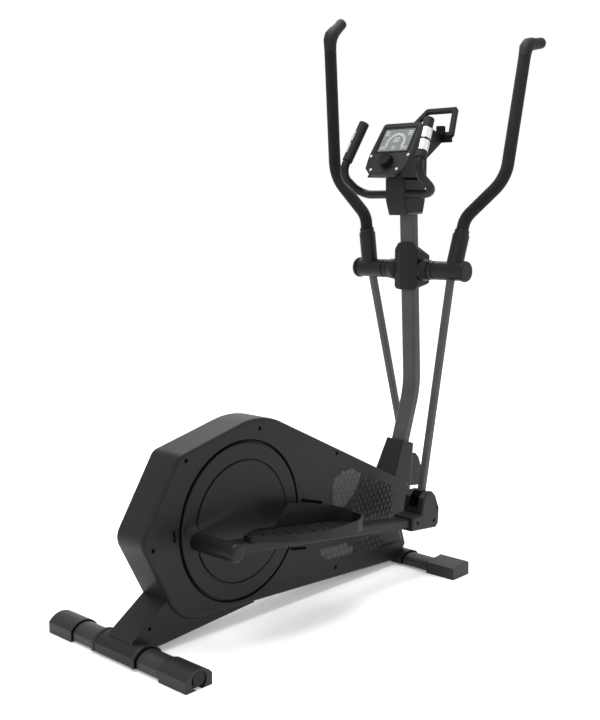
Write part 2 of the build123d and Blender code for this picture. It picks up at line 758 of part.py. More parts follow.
def swing_arm():
    """Cross sleeve, handle socket, square rod and lower eye, welded; swing axis at the origin."""
    sleeve = drum(SLEEVE_RADIUS, SLEEVE_INNER, SLEEVE_OUTER)
    socket = upward(BAR_RADIUS + SOCKET_WALL, SLEEVE_BORE + WELD, SOCKET_TOP)
    socket -= upward(BAR_RADIUS + FIT, BAR_START - SEAT, SOCKET_TOP)
    top = -SLEEVE_BORE - WELD
    section = Pos(0, ROD_Y, -ROD_LENGTH) * RectangleRounded(ROD_SIDE, ROD_SIDE, ROD_ROUND)
    rod = extrude(section, amount=ROD_LENGTH + top, dir=(0, 0, 1))
    low, high = ROD_Y - EYE_LENGTH / 2, ROD_Y + EYE_LENGTH / 2
    arm = sleeve + Rot(0, HANDLE_TILT, 0) * socket + rod + drum(EYE_RADIUS, low, high, 0, -ROD_LENGTH)
    arm -= drum(PIVOT_BOLT + FIT, low, high, 0, -ROD_LENGTH)
    return arm - drum(SLEEVE_BORE, SLEEVE_INNER, SLEEVE_OUTER)


def tee_cap():
    cap = drum(TEE_CAP_RADIUS, SLEEVE_OUTER, SLEEVE_OUTER + TEE_CAP)
    cap = fillet(cap.faces().sort_by(Axis.Y)[-1].edges(), TEE_CAP_ROUND)
    return cap + drum(SLEEVE_BORE - FIT, SLEEVE_OUTER - TEE_PLUG, SLEEVE_OUTER)


def bar_point(height):
    """A point on the straight upper run of the handlebar."""
    share = (height - BAR_ELBOW[1]) / (BAR_HEAD[1] - BAR_ELBOW[1])
    return (0, BAR_ELBOW[0] + share * (BAR_HEAD[0] - BAR_ELBOW[0]), height)


def bar_run(radius, low, high):
    """A stretch of the bent handlebar between two heights."""
    points = [(0, SOCKET_Y, low), (0, *BAR_KNEE), (0, *BAR_ELBOW), bar_point(high)]
    return rod_along(points, [BAR_KNEE_RADIUS, BAR_ELBOW_RADIUS], radius)


def handlebar():
    return bar_run(BAR_RADIUS, BAR_START, BAR_END) - bar_run(BAR_RADIUS - BAR_WALL, BAR_START, BAR_END)


def foam_grip():
    return bar_run(FOAM_RADIUS, FOAM_START, FOAM_END) - bar_run(FOAM_BORE, FOAM_START, FOAM_END)


def handle_end():
    """The moulded horn on top of the handlebar, bent forward."""
    points = [bar_point(FOAM_END + SEAT), bar_point(BAR_HEAD[1]), HORN_TIP]
    horn = rod_along(points, HORN_BEND, HORN_RADIUS)
    return horn - bar_run(FOAM_BORE, FOAM_START, BAR_END + SEAT)


def socket_cover():
    """The plastic tee over the cross sleeve and round the foot of the handlebar."""
    neck = upward(SOCKET_COVER, 0, SOCKET_COVER_SHOULDER)
    neck += upward(SOCKET_COVER_NECK, SOCKET_COVER_SHOULDER, FOAM_START - RUN)
    bore = upward(BAR_RADIUS + SOCKET_WALL + SEAT, 0, SOCKET_TOP + SEAT)
    bore += upward(BAR_RADIUS + SEAT, 0, FOAM_START)
    tilted = Rot(0, HANDLE_TILT, 0)
    tee = drum(SLEEVE_COVER, SLEEVE_INNER, SLEEVE_OUTER) + tilted * neck
    tee -= drum(SLEEVE_RADIUS + SEAT, SLEEVE_INNER, SLEEVE_OUTER) + tilted * bore
    side = ROD_SIDE + 2 * SEAT
    rod = Box(side, side, 2 * SLEEVE_COVER, align=(Align.CENTER, Align.CENTER, Align.MAX))
    return tee - Pos(0, ROD_Y, 0) * rod


def arm_frame():
    """Along the pedal arm's tube, from under the crank pin."""
    return Rot(0, ARM_SLOPE, 0)


def tube_block(gap=0.0):
    start, end = ARM_SLEEVE - ARM_TUBE_LAP, math.hypot(ARM_TUBE_END, ARM_TUBE_DROP)
    box = Box(end - start, ARM_TUBE_WIDTH + 2 * gap, ARM_TUBE_HEIGHT + 2 * gap)
    box = fillet(box.edges().filter_by(Axis.X), ARM_TUBE_ROUND)
    return arm_frame() * Pos((start + end) / 2, ROD_Y, 0) * box


def tube_hollow():
    start, end = ARM_SLEEVE + ARM_TUBE_PLUG, math.hypot(ARM_TUBE_END, ARM_TUBE_DROP)
    inside = Box(end - start, ARM_TUBE_WIDTH - 2 * ARM_TUBE_WALL, ARM_TUBE_HEIGHT - 2 * ARM_TUBE_WALL)
    return arm_frame() * Pos((start + end) / 2, ROD_Y, 0) * inside


def cheek_face():
    """A side plate from the end of the tube up to the pivot."""
    tail = ARM_TUBE_END - CHEEK_TAIL
    end = (tail, -ARM_TUBE_DROP * tail / ARM_TUBE_END)
    corner = (ARM_LENGTH, -ARM_TUBE_DROP + CHEEK_RISE)
    foot = hull(end, ARM_TUBE_HEIGHT / 2 - ARM_TUBE_WALL, corner, CHEEK_RADIUS)
    return foot + hull(corner, CHEEK_RADIUS, (ARM_LENGTH, 0), CHEEK_RADIUS)


def pedal_arm():
    """Crank sleeve, rectangular tube and the two cheeks at the rod's eye; crank pin at the origin."""
    sleeve = drum(ARM_SLEEVE, ARM_SLEEVE_INNER, ARM_SLEEVE_OUTER)
    sleeve = fillet(sleeve.faces().sort_by(Axis.Y)[-1].edges(), ARM_SLEEVE_ROUND)
    arm = sleeve + tube_block() - tube_hollow()
    half = ARM_TUBE_WIDTH / 2
    for low in (ROD_Y - half, ROD_Y + half - CHEEK):
        arm += slab(cheek_face(), low, low + CHEEK)
    arm -= drum(ARM_BORE, ARM_SLEEVE_INNER, ARM_SLEEVE_INNER + ARM_BORE_DEPTH)
    return arm - drum(PIVOT_BOLT + FIT, ROD_Y - ARM_TUBE_WIDTH, ROD_Y + ARM_TUBE_WIDTH, ARM_LENGTH, 0)


def pivot_bolt():
    reach = ARM_TUBE_WIDTH / 2 + CHEEK
    bolt = drum(PIVOT_BOLT, ROD_Y - reach, ROD_Y + reach, ARM_LENGTH, 0)
    head = ARM_TUBE_WIDTH / 2
    for low, high in ((-reach, -head), (head, reach)):
        bolt += drum(PIVOT_HEAD, ROD_Y + low, ROD_Y + high, ARM_LENGTH, 0)
    return bolt


def joint_covers():
    """Two plastic half shells round the pivot, with a slot for the swinging rod."""
    face = Pos(ARM_LENGTH, 0) * flat(HOUSING_CORNERS)
    shell = slab(face, ROD_Y - HOUSING_HALF, ROD_Y + HOUSING_HALF)
    sides = shell.faces().sort_by(Axis.Y)
    shell = chamfer(sides[0].edges() + sides[-1].edges(), HOUSING_CHAMFER)
    inside = ARM_TUBE_WIDTH / 2 + SEAT
    shell -= slab(offset(face, -HOUSING_WALL), ROD_Y - inside, ROD_Y + inside)
    slot = Box(HOUSING_SPAN, 2 * HOUSING_SLOT, HOUSING_SPAN, align=(Align.CENTER, Align.CENTER, Align.MIN))
    shell -= Pos(ARM_LENGTH, ROD_Y, HOUSING_SLOT_FLOOR) * slot
    shell -= tube_block(SEAT)
    reach = inside + CHEEK + SEAT
    shell -= drum(PIVOT_HEAD + SEAT, ROD_Y - reach, ROD_Y + reach, ARM_LENGTH, 0)
    seam = Pos(ARM_LENGTH, ROD_Y, 0) * Box(2 * HOUSING_SPAN, SEAM, 2 * HOUSING_SPAN)
    return shell - seam


def pedal():
    """The footplate: a tray with a high inner guard, on top of the arm's tube."""
    face = flat(PEDAL_CORNERS, PEDAL_ROUNDS)
    height = max(up for along, up in PEDAL_INNER_WALL)
    rim = extrude(face - offset(face, -PEDAL_WALL), amount=height, dir=(0, 0, 1))
    widest = max(out for along, out in PEDAL_CORNERS)
    guards = slab(flat(PEDAL_INNER_WALL), 0, PEDAL_SPLIT)
    guards += slab(flat(PEDAL_OUTER_WALL), PEDAL_SPLIT, 2 * widest)
    tray = extrude(face, amount=PEDAL_FLOOR, dir=(0, 0, 1)) + (rim & guards)
    return arm_frame() * Pos(0, 0, ARM_TUBE_HEIGHT / 2) * tray


def crank_axle():
    return drum(AXLE_RADIUS, -AXLE_HALF, AXLE_HALF, 0, AXLE_HEIGHT)


def turned(piece, crank_angle):
    """A crank piece drawn with its pin forward, turned to its angle."""
    return Pos(0, 0, AXLE_HEIGHT) * Rot(0, -crank_angle, 0) * piece


def both_cranks(piece):
    """The same crank piece on both sides, half a turn apart."""
    left = turned(piece, CRANK_REST + 180)
    return Part() + [left, turned(other_side(piece), CRANK_REST)]


def crank_arms():
    arm = slab(hull((0, 0), CRANK_HUB, (CRANK_RADIUS, 0), CRANK_EYE), CRANK_INNER, CRANK_OUTER)
    return both_cranks(arm - drum(AXLE_RADIUS + FIT, 0, BODY_HALF))


def crank_discs():
    """Round discs in the covers' openings, each with a fairing out to its pin boss."""
    disc = drum(DISC_RADIUS, DISC_BACK, DISC_FACE)
    disc = chamfer(disc.faces().sort_by(Axis.Y)[-1].edges(), DISC_CHAMFER)
    disc += drum(GROOVE_RADIUS - GROOVE_WIDTH / 2, DISC_BACK, DISC_FACE + DISC_DISH)
    groove = drum(GROOVE_RADIUS + GROOVE_WIDTH / 2, DISC_FACE - GROOVE_DEPTH, BODY_HALF * 2)
    disc -= groove - drum(GROOVE_RADIUS - GROOVE_WIDTH / 2, 0, BODY_HALF * 2)
    fairing = slab(hull((0, 0), FAIRING_HUB, (CRANK_RADIUS, 0), FAIRING_EYE), DISC_FACE, FAIRING_FACE)
    disc += fillet(fairing.faces().sort_by(Axis.Y)[-1].edges(), FAIRING_ROUND)
    disc += drum(ARM_SLEEVE, DISC_FACE, ARM_SLEEVE_INNER - 1.5 * RUN, CRANK_RADIUS, 0)
    disc += slab(hull((0, 0), CRANK_HUB, (CRANK_RADIUS, 0), CRANK_EYE), CRANK_OUTER, DISC_BACK)
    return both_cranks(disc - drum(AXLE_RADIUS + SEAT, 0, AXLE_HALF + SEAT))


def drive_pulley():
    """The large belt pulley on the crank axle, with a web of six holes."""
    pulley = drum(PULLEY_RADIUS, PULLEY_LOW, PULLEY_HIGH, 0, AXLE_HEIGHT)
    pulley -= drum(AXLE_RADIUS + FIT, PULLEY_LOW, PULLEY_HIGH, 0, AXLE_HEIGHT)
    for turn in range(0, 360, 60):
        hole = Rot(0, turn, 0) * drum(PULLEY_HOLE, PULLEY_LOW, PULLEY_HIGH, PULLEY_HOLE_RING)
        pulley -= Pos(0, 0, AXLE_HEIGHT) * hole
    return pulley


def drive_belt():
    def loop(grow):
        return hull((0, AXLE_HEIGHT), PULLEY_RADIUS + grow, FLYWHEEL_AT, HUB_PULLEY + grow)

    belt = loop(BELT_GAP + BELT_THICKNESS) - loop(BELT_GAP)
    return slab(belt, PULLEY_LOW + BELT_INSET, PULLEY_HIGH - BELT_INSET)


def flywheel():
    """A heavy rim and web with the small belt pulley on its hub."""
    wheel = drum(FLYWHEEL_RADIUS, FLYWHEEL_LOW, FLYWHEEL_HIGH, *FLYWHEEL_AT)
    depth = (FLYWHEEL_HIGH - FLYWHEEL_LOW) / 3
    pocket = drum(FLYWHEEL_RIM, -BODY_HALF, BODY_HALF, *FLYWHEEL_AT)
    pocket -= drum(FLYWHEEL_HUB, -BODY_HALF, BODY_HALF, *FLYWHEEL_AT)
    web = drum(FLYWHEEL_RADIUS, FLYWHEEL_LOW + depth, FLYWHEEL_HIGH - depth, *FLYWHEEL_AT)
    wheel -= pocket - web
    wheel += drum(HUB_PULLEY, FLYWHEEL_HIGH, PULLEY_HIGH, *FLYWHEEL_AT)
    return wheel - drum(FLYWHEEL_AXLE + FIT, -BODY_HALF, BODY_HALF, *FLYWHEEL_AT)


def flywheel_axle():
    low = FLYWHEEL_LOW - FORK_GAP - FORK_WALL
    return drum(FLYWHEEL_AXLE, low - FLYWHEEL_STUB, PULLEY_HIGH + FORK_GAP + FLYWHEEL_STUB, *FLYWHEEL_AT)


def brake_arm():
    """A curved arm of magnets round the flywheel, on a pin between two plates of the frame."""
    inner = FLYWHEEL_RADIUS + BRAKE_GAP
    first, last = BRAKE_ANGLES
    ring = drum(inner + BRAKE_THICKNESS, -BRAKE_HALF, BRAKE_HALF) - drum(inner, -BRAKE_HALF, BRAKE_HALF)
    reach = 2 * inner
    middle = math.radians((first + last) / 2)
    ends = [(reach * math.cos(math.radians(a)), reach * math.sin(math.radians(a))) for a in (first, last)]
    tip = (reach * math.cos(middle) * 2, reach * math.sin(middle) * 2)
    arc = ring & slab(flat([(0, 0), ends[0], tip, ends[1]]), -BRAKE_HALF, BRAKE_HALF)
    pin_reach = BRAKE_HALF + BRAKE_SIDE + BRAKE_PLATE
    return Pos(FLYWHEEL_X, 0, FLYWHEEL_Z) * arc + drum(BRAKE_PIN, -pin_reach, pin_reach, *brake_pivot())


def console_neck():
    neck = slab(flat(NECK_CORNERS), -NECK_HALF, NECK_HALF)
    sides = neck.faces().sort_by(Axis.Y)
    neck = chamfer(sides[0].edges() + sides[-1].edges(), NECK_CHAMFER)
    return neck - post_block(SEAT) - pulse_path(PULSE_RADIUS + FIT)


def pulse_path(radius):
    points = [PULSE_TOP, PULSE_ELBOW, PULSE_CORNER]
    points += [(x, -y, z) for x, y, z in reversed(points)]
    bends = [PULSE_ELBOW_RADIUS, PULSE_CORNER_RADIUS, PULSE_CORNER_RADIUS, PULSE_ELBOW_RADIUS]
    return rod_along(points, bends, radius)


def pulse_bar():
    return pulse_path(PULSE_RADIUS) - pulse_path(PULSE_RADIUS - PULSE_WALL)


def grip_axis():
    """Up the left upright of the pulse bar; its local x points outboard."""
    up = Vector(*PULSE_TOP) - Vector(*PULSE_ELBOW)
    return Plane(origin=PULSE_ELBOW, x_dir=Vector(0, 1, 0).cross(up).cross(up) * -1, z_dir=up)


def along_grip(radius, low, high):
    return extrude(grip_axis().offset(low) * Circle(radius), amount=high - low)


def upright_length():
    return (Vector(*PULSE_TOP) - Vector(*PULSE_ELBOW)).length


def pulse_grips():
    """Rubber sleeves with closed tops on the uprights of the pulse bar."""
    end = upright_length()
    grip = along_grip(GRIP_RADIUS, GRIP_START, end + GRIP_CAP)
    grip = fillet(grip.faces().sort_by(Axis.Z)[-1].edges(), GRIP_CAP - 1)
    grip -= along_grip(PULSE_RADIUS + FIT, GRIP_START, end + SEAT)
    return Part() + [grip, other_side(grip)]


def pulse_pads():
    """Two metal contact plates, bent round the outboard half of each grip."""
    pads = []
    for low in (PAD_START, PAD_START + PAD_LENGTH + PAD_GAP):
        high = low + PAD_LENGTH
        pad = along_grip(PAD_RADIUS, low, high) - along_grip(GRIP_RADIUS + FIT, low, high)
        inboard = Pos(-PAD_RADIUS, 0) * Rectangle(2 * PAD_RADIUS, 4 * PAD_RADIUS)
        pad -= extrude(grip_axis().offset(low) * inboard, amount=PAD_LENGTH)
        pads += [pad, other_side(pad)]
    return Part() + pads


def panel_point(along, depth):
    """Side-view point up the panel and behind its face."""
    at = PANEL.origin + PANEL.y_dir * along - PANEL.z_dir * depth
    return at.X, at.Z


def console_face():
    """Side view of the housing behind the panel."""
    depth = PANEL_THICKNESS + SEAT
    heights = [t for q, t in PANEL_CORNERS]
    return flat([panel_point(min(heights), depth), panel_point(max(heights), depth)] + HOUSING_BACK)


def console_back():
    face = console_face()
    back = slab(face, -CONSOLE_HALF, CONSOLE_HALF)
    inside = CONSOLE_HALF - CONSOLE_WALL
    return back - slab(offset(face, -CONSOLE_WALL), -inside, inside)


def on_panel(radius, at, low, high):
    """A cylinder square to the panel between two heights over its face."""
    return extrude(PANEL.offset(low) * Pos(*at) * Circle(radius), amount=high - low)


def display_face(gap=0.0):
    """The display's outline in the foot of its window, grown by a gap."""
    face = Pos(0, DISPLAY_HEIGHT / 2) * Rectangle(DISPLAY_WIDTH + 2 * gap, DISPLAY_HEIGHT + 2 * gap)
    return PANEL.offset(-DISPLAY_SUNK - DISPLAY_THICKNESS) * face


def console_display():
    return extrude(display_face(), amount=DISPLAY_THICKNESS)


def console_fascia():
    """The front panel with a window for the display and holes for the keys and the knob."""
    back = PANEL.offset(-PANEL_THICKNESS)
    fascia = extrude(back * flat(PANEL_CORNERS, PANEL_ROUNDS), amount=PANEL_THICKNESS)
    fascia -= extrude(display_face(SEAT), amount=PANEL_THICKNESS)
    for at in KEYS.values():
        fascia -= on_panel(KEY_RADIUS + SEAT, at, -KEY_LENGTH, KEY_LENGTH)
    return fascia - on_panel(KNOB_SHAFT + FIT, KNOB_AT, -KEY_LENGTH, KEY_LENGTH)


def console_knob():
    knob = on_panel(KNOB_RADIUS, KNOB_AT, RUN, KNOB_HEIGHT)
    knob = chamfer(knob.faces().sort_by(Axis(PANEL.origin, PANEL.z_dir))[-1].edges(), KNOB_CHAMFER)
    return knob + on_panel(KNOB_SHAFT, KNOB_AT, -KEY_LENGTH + SEAT, RUN)


def key(at):
    return on_panel(KEY_RADIUS, at, -KEY_LENGTH + KEY_TRAVEL + SEAT, KEY_PROUD)


def tablet_holder():
    """A tapered frame that leans away behind the console, with a shelf and two stops for a tablet."""
    up = Vector(HOLDER_HEAD[0] - HOLDER_FOOT[0], 0, HOLDER_HEAD[1] - HOLDER_FOOT[1])
    across = Vector(0, -1, 0)
    lean = Plane(origin=(HOLDER_FOOT[0], 0, HOLDER_FOOT[1]), x_dir=across, z_dir=across.cross(up))
    low, high, top = HOLDER_LOW_HALF, HOLDER_HIGH_HALF, up.length
    middle = flat([(low, 0), (high, top), (-high, top), (-low, 0)])
    ring = offset(middle, HOLDER_BAR / 2) - offset(middle, -HOLDER_BAR / 2)
    holder = extrude(lean.offset(-HOLDER_DEPTH / 2) * ring, amount=HOLDER_DEPTH)
    rear = max(x for x, z in HOUSING_BACK)
    shelf = Box(SHELF_DEPTH, 2 * HOLDER_LOW_HALF, SHELF_HEIGHT, align=(Align.MIN, Align.CENTER, Align.MAX))
    holder += Pos(rear, 0, HOLDER_FOOT[1]) * shelf
    for y in (-STOP_Y, STOP_Y):
        stop = Box(*STOP_SIZE, align=(Align.MAX, Align.CENTER, Align.MIN))
        holder += Pos(HOLDER_FOOT[0] - STOP_SIZE[0] / 4, y, HOLDER_FOOT[1]) * stop
    return holder - slab(offset(console_face(), SEAT), -CONSOLE_HALF - SEAT, CONSOLE_HALF + SEAT)


def swing_nodes(side, crank_angle):
    place = Pos(SWING_X, 0, SWING_HEIGHT) * Rot(0, -linkage(crank_angle)["lean"], 0)
    tilted = Rot(0, HANDLE_TILT, 0)
    pieces = {
        "swing_arm": swing_arm(),
        "tee_cap": tee_cap(),
        "socket_cover": socket_cover(),
        "handlebar": tilted * handlebar(),
        "foam_grip": tilted * foam_grip(),
        "handle_end": tilted * handle_end(),
    }
    return {f"{name}_{side}": (place, piece) for name, piece in pieces.items()}


def pedal_nodes(side, crank_angle):
    pose = linkage(crank_angle)
    pin_x, pin_z = pose["pin"]
    place = Pos(pin_x, 0, pin_z) * Rot(0, -pose["pitch"], 0)
    pieces = {
        "pedal_arm": pedal_arm(),
        "pivot_bolt": pivot_bolt(),
        "joint_covers": joint_covers(),
        "pedal": pedal(),
    }
    return {f"{name}_{side}": (place, piece) for name, piece in pieces.items()}


def all_nodes():
    cover = body_cover()
    dial = level_dial()
    nodes = {
        "main_frame": main_frame(),
        "rear_stabiliser": stabiliser(rear_face),
        "front_stabiliser": stabiliser(front_face),
        "foot_caps": foot_caps(),
        "frame_bolts": frame_bolts(),
        "rear_leg_cover": rear_leg_cover(),
        "front_saddle": front_saddle(),
        "body_cover_left": cover,
        "body_cover_right": other_side(cover),
        "cover_screws": cover_screws(),
        "console_post": console_post(),
        "post_shroud": post_shroud(),
        "hub_cover": hub_cover(),
        "swing_axle": swing_axle(),
        "swing_bushings": swing_bushings(),
        "console_neck": console_neck(),
        "pulse_bar": pulse_bar(),
        "pulse_grips": pulse_grips(),
        "pulse_pads": pulse_pads(),
        "console_back": console_back(),
        "console_fascia": console_fascia(),
        "console_display": console_display(),
        "tablet_holder": tablet_holder(),
        "crank_bearings": crank_bearings(),
        "crank_axle": crank_axle(),
        "crank_arms": crank_arms(),
        "crank_discs": crank_discs(),
        "drive_pulley": drive_pulley(),
        "drive_belt": drive_belt(),
        "flywheel": flywheel(),
        "flywheel_axle": flywheel_axle(),
        "brake_arm": brake_arm(),
        "brake_motor": brake_motor(),
        "console_knob": console_knob(),
        "level_dial_left": dial,
        "level_dial_right": other_side(dial),
    }
    nodes.update({name: key(at) for name, at in KEYS.items()})
    for side, crank_angle in (("left", CRANK_REST + 180), ("right", CRANK_REST)):
        moving = swing_nodes(side, crank_angle) | pedal_nodes(side, crank_angle)
        for name, (place, piece) in moving.items():
            nodes[name] = place * (piece if side == "left" else other_side(piece))
    return nodes


def middle_underneath(nodes):
    """The point under the middle of the whole machine."""
    boxes = [node.bounding_box() for node in nodes.values()]
    rear = min(box.min.X for box in boxes)
    front = max(box.max.X for box in boxes)
    right = min(box.min.Y for box in boxes)
    left = max(box.max.Y for box in boxes)
    return Vector((rear + front) / 2, (right + left) / 2, min(box.min.Z for box in boxes))


def main():
    nodes = all_nodes()
    origin = middle_underneath(nodes)
    os.makedirs("parts", exist_ok=True)
    for name, node in nodes.items():
        export_step(Pos(-origin.X, -origin.Y, -origin.Z) * node, f"parts/{name}.step")
    print(f"{len(nodes)} nodes, origin at {origin.X:.4f}, {origin.Y:.4f}, {origin.Z:.4f}")
    for side, crank_angle in (("left", CRANK_REST + 180), ("right", CRANK_REST)):
        print(side, linkage(crank_angle))


main()
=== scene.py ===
# %% [markdown]
# # An elliptical trainer, dressed for a studio picture
#
# The machine is a welded steel frame in black moulded covers. Two painted arms carry the pedals, two bent
# bars with foam grips swing with them, and a small console sits on a post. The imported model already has
# the true sizes, so it is loaded as a fixed frame, and everything below only gives it finishes and fine
# detail.

# %% Load the frame
import json
import math

import bmesh
import bpy
from mathutils import Matrix, Vector

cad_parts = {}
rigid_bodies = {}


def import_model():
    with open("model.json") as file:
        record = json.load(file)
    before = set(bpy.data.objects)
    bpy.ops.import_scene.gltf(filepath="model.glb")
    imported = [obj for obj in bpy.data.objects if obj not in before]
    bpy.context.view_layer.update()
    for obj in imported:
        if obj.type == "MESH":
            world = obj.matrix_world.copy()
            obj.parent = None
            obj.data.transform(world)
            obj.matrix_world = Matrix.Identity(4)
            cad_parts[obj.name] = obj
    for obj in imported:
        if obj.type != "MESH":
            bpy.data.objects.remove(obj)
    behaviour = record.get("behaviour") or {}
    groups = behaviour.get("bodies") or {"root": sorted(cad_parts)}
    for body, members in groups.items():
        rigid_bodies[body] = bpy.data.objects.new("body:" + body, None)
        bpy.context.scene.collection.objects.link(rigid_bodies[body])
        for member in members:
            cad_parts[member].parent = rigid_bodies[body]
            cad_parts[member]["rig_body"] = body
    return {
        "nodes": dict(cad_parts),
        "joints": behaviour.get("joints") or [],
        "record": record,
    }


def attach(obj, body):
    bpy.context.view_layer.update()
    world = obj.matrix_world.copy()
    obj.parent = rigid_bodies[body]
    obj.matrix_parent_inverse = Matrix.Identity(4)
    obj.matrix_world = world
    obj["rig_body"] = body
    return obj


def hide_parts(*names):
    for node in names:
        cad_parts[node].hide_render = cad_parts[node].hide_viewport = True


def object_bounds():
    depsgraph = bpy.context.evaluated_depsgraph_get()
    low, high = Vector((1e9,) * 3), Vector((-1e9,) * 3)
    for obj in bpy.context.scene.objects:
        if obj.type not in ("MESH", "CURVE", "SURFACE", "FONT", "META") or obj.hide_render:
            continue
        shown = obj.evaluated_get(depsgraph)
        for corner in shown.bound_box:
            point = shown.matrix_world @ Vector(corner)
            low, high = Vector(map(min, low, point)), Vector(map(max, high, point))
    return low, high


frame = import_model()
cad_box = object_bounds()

nodes = frame["nodes"]

# %% [markdown]
# ## Where things are
#
# The maker measures this machine in millimetres from the floor under the crank axle: forward, to the left
# and up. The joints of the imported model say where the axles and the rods' eyes are, and the rest follows
# from them. A detail could be drawn in place with slanted coordinates. Here it is drawn flat in the frame
# of the part that carries it, and one matrix takes it there. That keeps the numbers those that a ruler
# would give, and the object itself stays at the origin.

# %% Places of the joints
MM = 0.001
SIDES = ("left", "right")
JOINTS = {joint["name"]: joint for joint in frame["joints"]}
AXLE_X = JOINTS["crank_turn"]["pos_m"][0]
FROM_AXLE = Matrix.Translation((AXLE_X, 0, 0)) @ Matrix.Scale(MM, 4)
CRANK_THROW = 165.0
CRANK_LIFT = math.radians(5)


def joint_place(name):
    return (Vector(JOINTS[name]["pos_m"]) - Vector((AXLE_X, 0, 0))) / MM


AXLE_AT = joint_place("crank_turn")
SWING_AT = joint_place("swing_right_rock")
EYE_AT = {side: joint_place(f"pedal_{side}_tilt") for side in SIDES}
PIN_REACH = CRANK_THROW * Vector((math.cos(CRANK_LIFT), 0, math.sin(CRANK_LIFT)))
PIN_AT = {"left": AXLE_AT + PIN_REACH, "right": AXLE_AT - PIN_REACH}
print("axle at", round(AXLE_X / MM, 1), "mm from the middle")

# %% Frames of the carrying parts
COVER_FACE = 53.0
HANDLE_TILT = 8.0
ARM_DROP, ARM_RUN = 65.0, 740.0
ARM_SLOPE = math.degrees(math.atan2(ARM_DROP, ARM_RUN))


def turned(degrees):
    return Matrix.Rotation(math.radians(degrees), 4, "Y")


def sided(side):
    return Matrix.Diagonal((1, 1 if side == "left" else -1, 1, 1))


def climb(start, end):
    """Degrees by which a line climbs, seen from the machine's side."""
    return math.degrees(math.atan2(end.z - start.z, end.x - start.x))


def axes(first, second, third, at):
    """A matrix from three directions and a place."""
    return Matrix.Translation(at) @ Matrix((first, second, third)).transposed().to_4x4()


OUTWARD = axes((1, 0, 0), (0, 0, 1), (0, 1, 0), (0, 0, 0))


def cover_frame(side):
    """Forward, up and outward on a side cover's flat face."""
    return FROM_AXLE @ sided(side) @ Matrix.Translation((0, COVER_FACE, 0)) @ OUTWARD


def swing_frame(side):
    """Up the rod from the swing axle."""
    lean = 90 + climb(SWING_AT, EYE_AT[side])
    return FROM_AXLE @ Matrix.Translation(SWING_AT) @ turned(-lean) @ sided(side)


def handle_frame(side):
    return swing_frame(side) @ turned(HANDLE_TILT)


def arm_frame(side):
    """Along the pedal arm from the crank pin."""
    pitch = climb(PIN_AT[side], EYE_AT[side])
    return FROM_AXLE @ Matrix.Translation(PIN_AT[side]) @ turned(-pitch) @ sided(side)


def tube_frame(side):
    return arm_frame(side) @ turned(ARM_SLOPE)


for side in SIDES:
    print(side, "rod leans", round(90 + climb(SWING_AT, EYE_AT[side]), 1), "degrees")

# %% Frame of the console's panel
KNOB_AT = (0.0, -38.0)
ACROSS = Vector((0, -1, 0))
PANEL_OUT = Vector(JOINTS["knob_turn"]["axis"])
PANEL_UP = PANEL_OUT.cross(ACROSS)
PANEL_AT = joint_place("knob_turn") - PANEL_UP * KNOB_AT[1]
PANEL = FROM_AXLE @ axes(ACROSS, PANEL_UP, PANEL_OUT, PANEL_AT)
print("panel's middle at", [round(place, 1) for place in PANEL_AT])

# %% [markdown]
# ## One way to make a finish
#
# A finish is a small tree of nodes. The colours are written as on a paint card, in sRGB, so they are
# turned to the linear values that light works with. Nodes could be set up line by line, but one function
# that adds a node, sets its fields and joins its inputs lets each tree be read from top to bottom.

# %% Colours and nodes


def linear(code):
    """A paint-card colour as linear light."""
    shares = [int(code[i : i + 2], 16) / 255 for i in (1, 3, 5)]
    return [s / 12.92 if s <= 0.04045 else ((s + 0.055) / 1.055) ** 2.4 for s in shares] + [1.0]


def add(tree, kind, inputs, stops=(), **fields):
    """A node with its fields and colour stops set, and its inputs given a value or joined to an output."""
    made = tree.nodes.new(kind)
    for field, value in fields.items():
        setattr(made, field, value)
    for socket, value in inputs.items():
        if isinstance(value, bpy.types.NodeSocket):
            tree.links.new(value, made.inputs[socket])
        else:
            made.inputs[socket].default_value = value
    for number, (position, code) in enumerate(stops):
        made.color_ramp.elements[number].position = position
        made.color_ramp.elements[number].color = linear(code)
    return made


def start_finish(name):
    finish = bpy.data.materials.new(name)
    finish.use_nodes = True
    finish.node_tree.nodes.clear()
    place = add(finish.node_tree, "ShaderNodeTexCoord", {}).outputs["Object"]
    return finish, finish.node_tree, place


def close_finish(tree, shader_inputs):
    shader = add(tree, "ShaderNodeBsdfPrincipled", shader_inputs)
    add(tree, "ShaderNodeOutputMaterial", {"Surface": shader.outputs["BSDF"]})


def per_metre(millimetres):
    return 1 / (millimetres * MM)


print("white on the card is", linear("#ffffff"))

# %% [markdown]
# ## Moulded plastics, paint and rubber
#
# Most of the machine is injection moulded plastic with a spark-eroded grain, and the tubes have powder
# paint with a soft orange peel. All of these share one build: a fine grain raised as bump, and a broad
# cloud that shifts colour and polish a little, as handling and uneven cooling do. A real
# grain of about 0.3 mm is too fine to show here, so it is drawn several times coarser.

# %% How a grained finish is built
CLOUD_MM = 70.0
TONE_FROM, TONE_TO = 0.3, 0.7
POLISH_SHIFT = 0.05


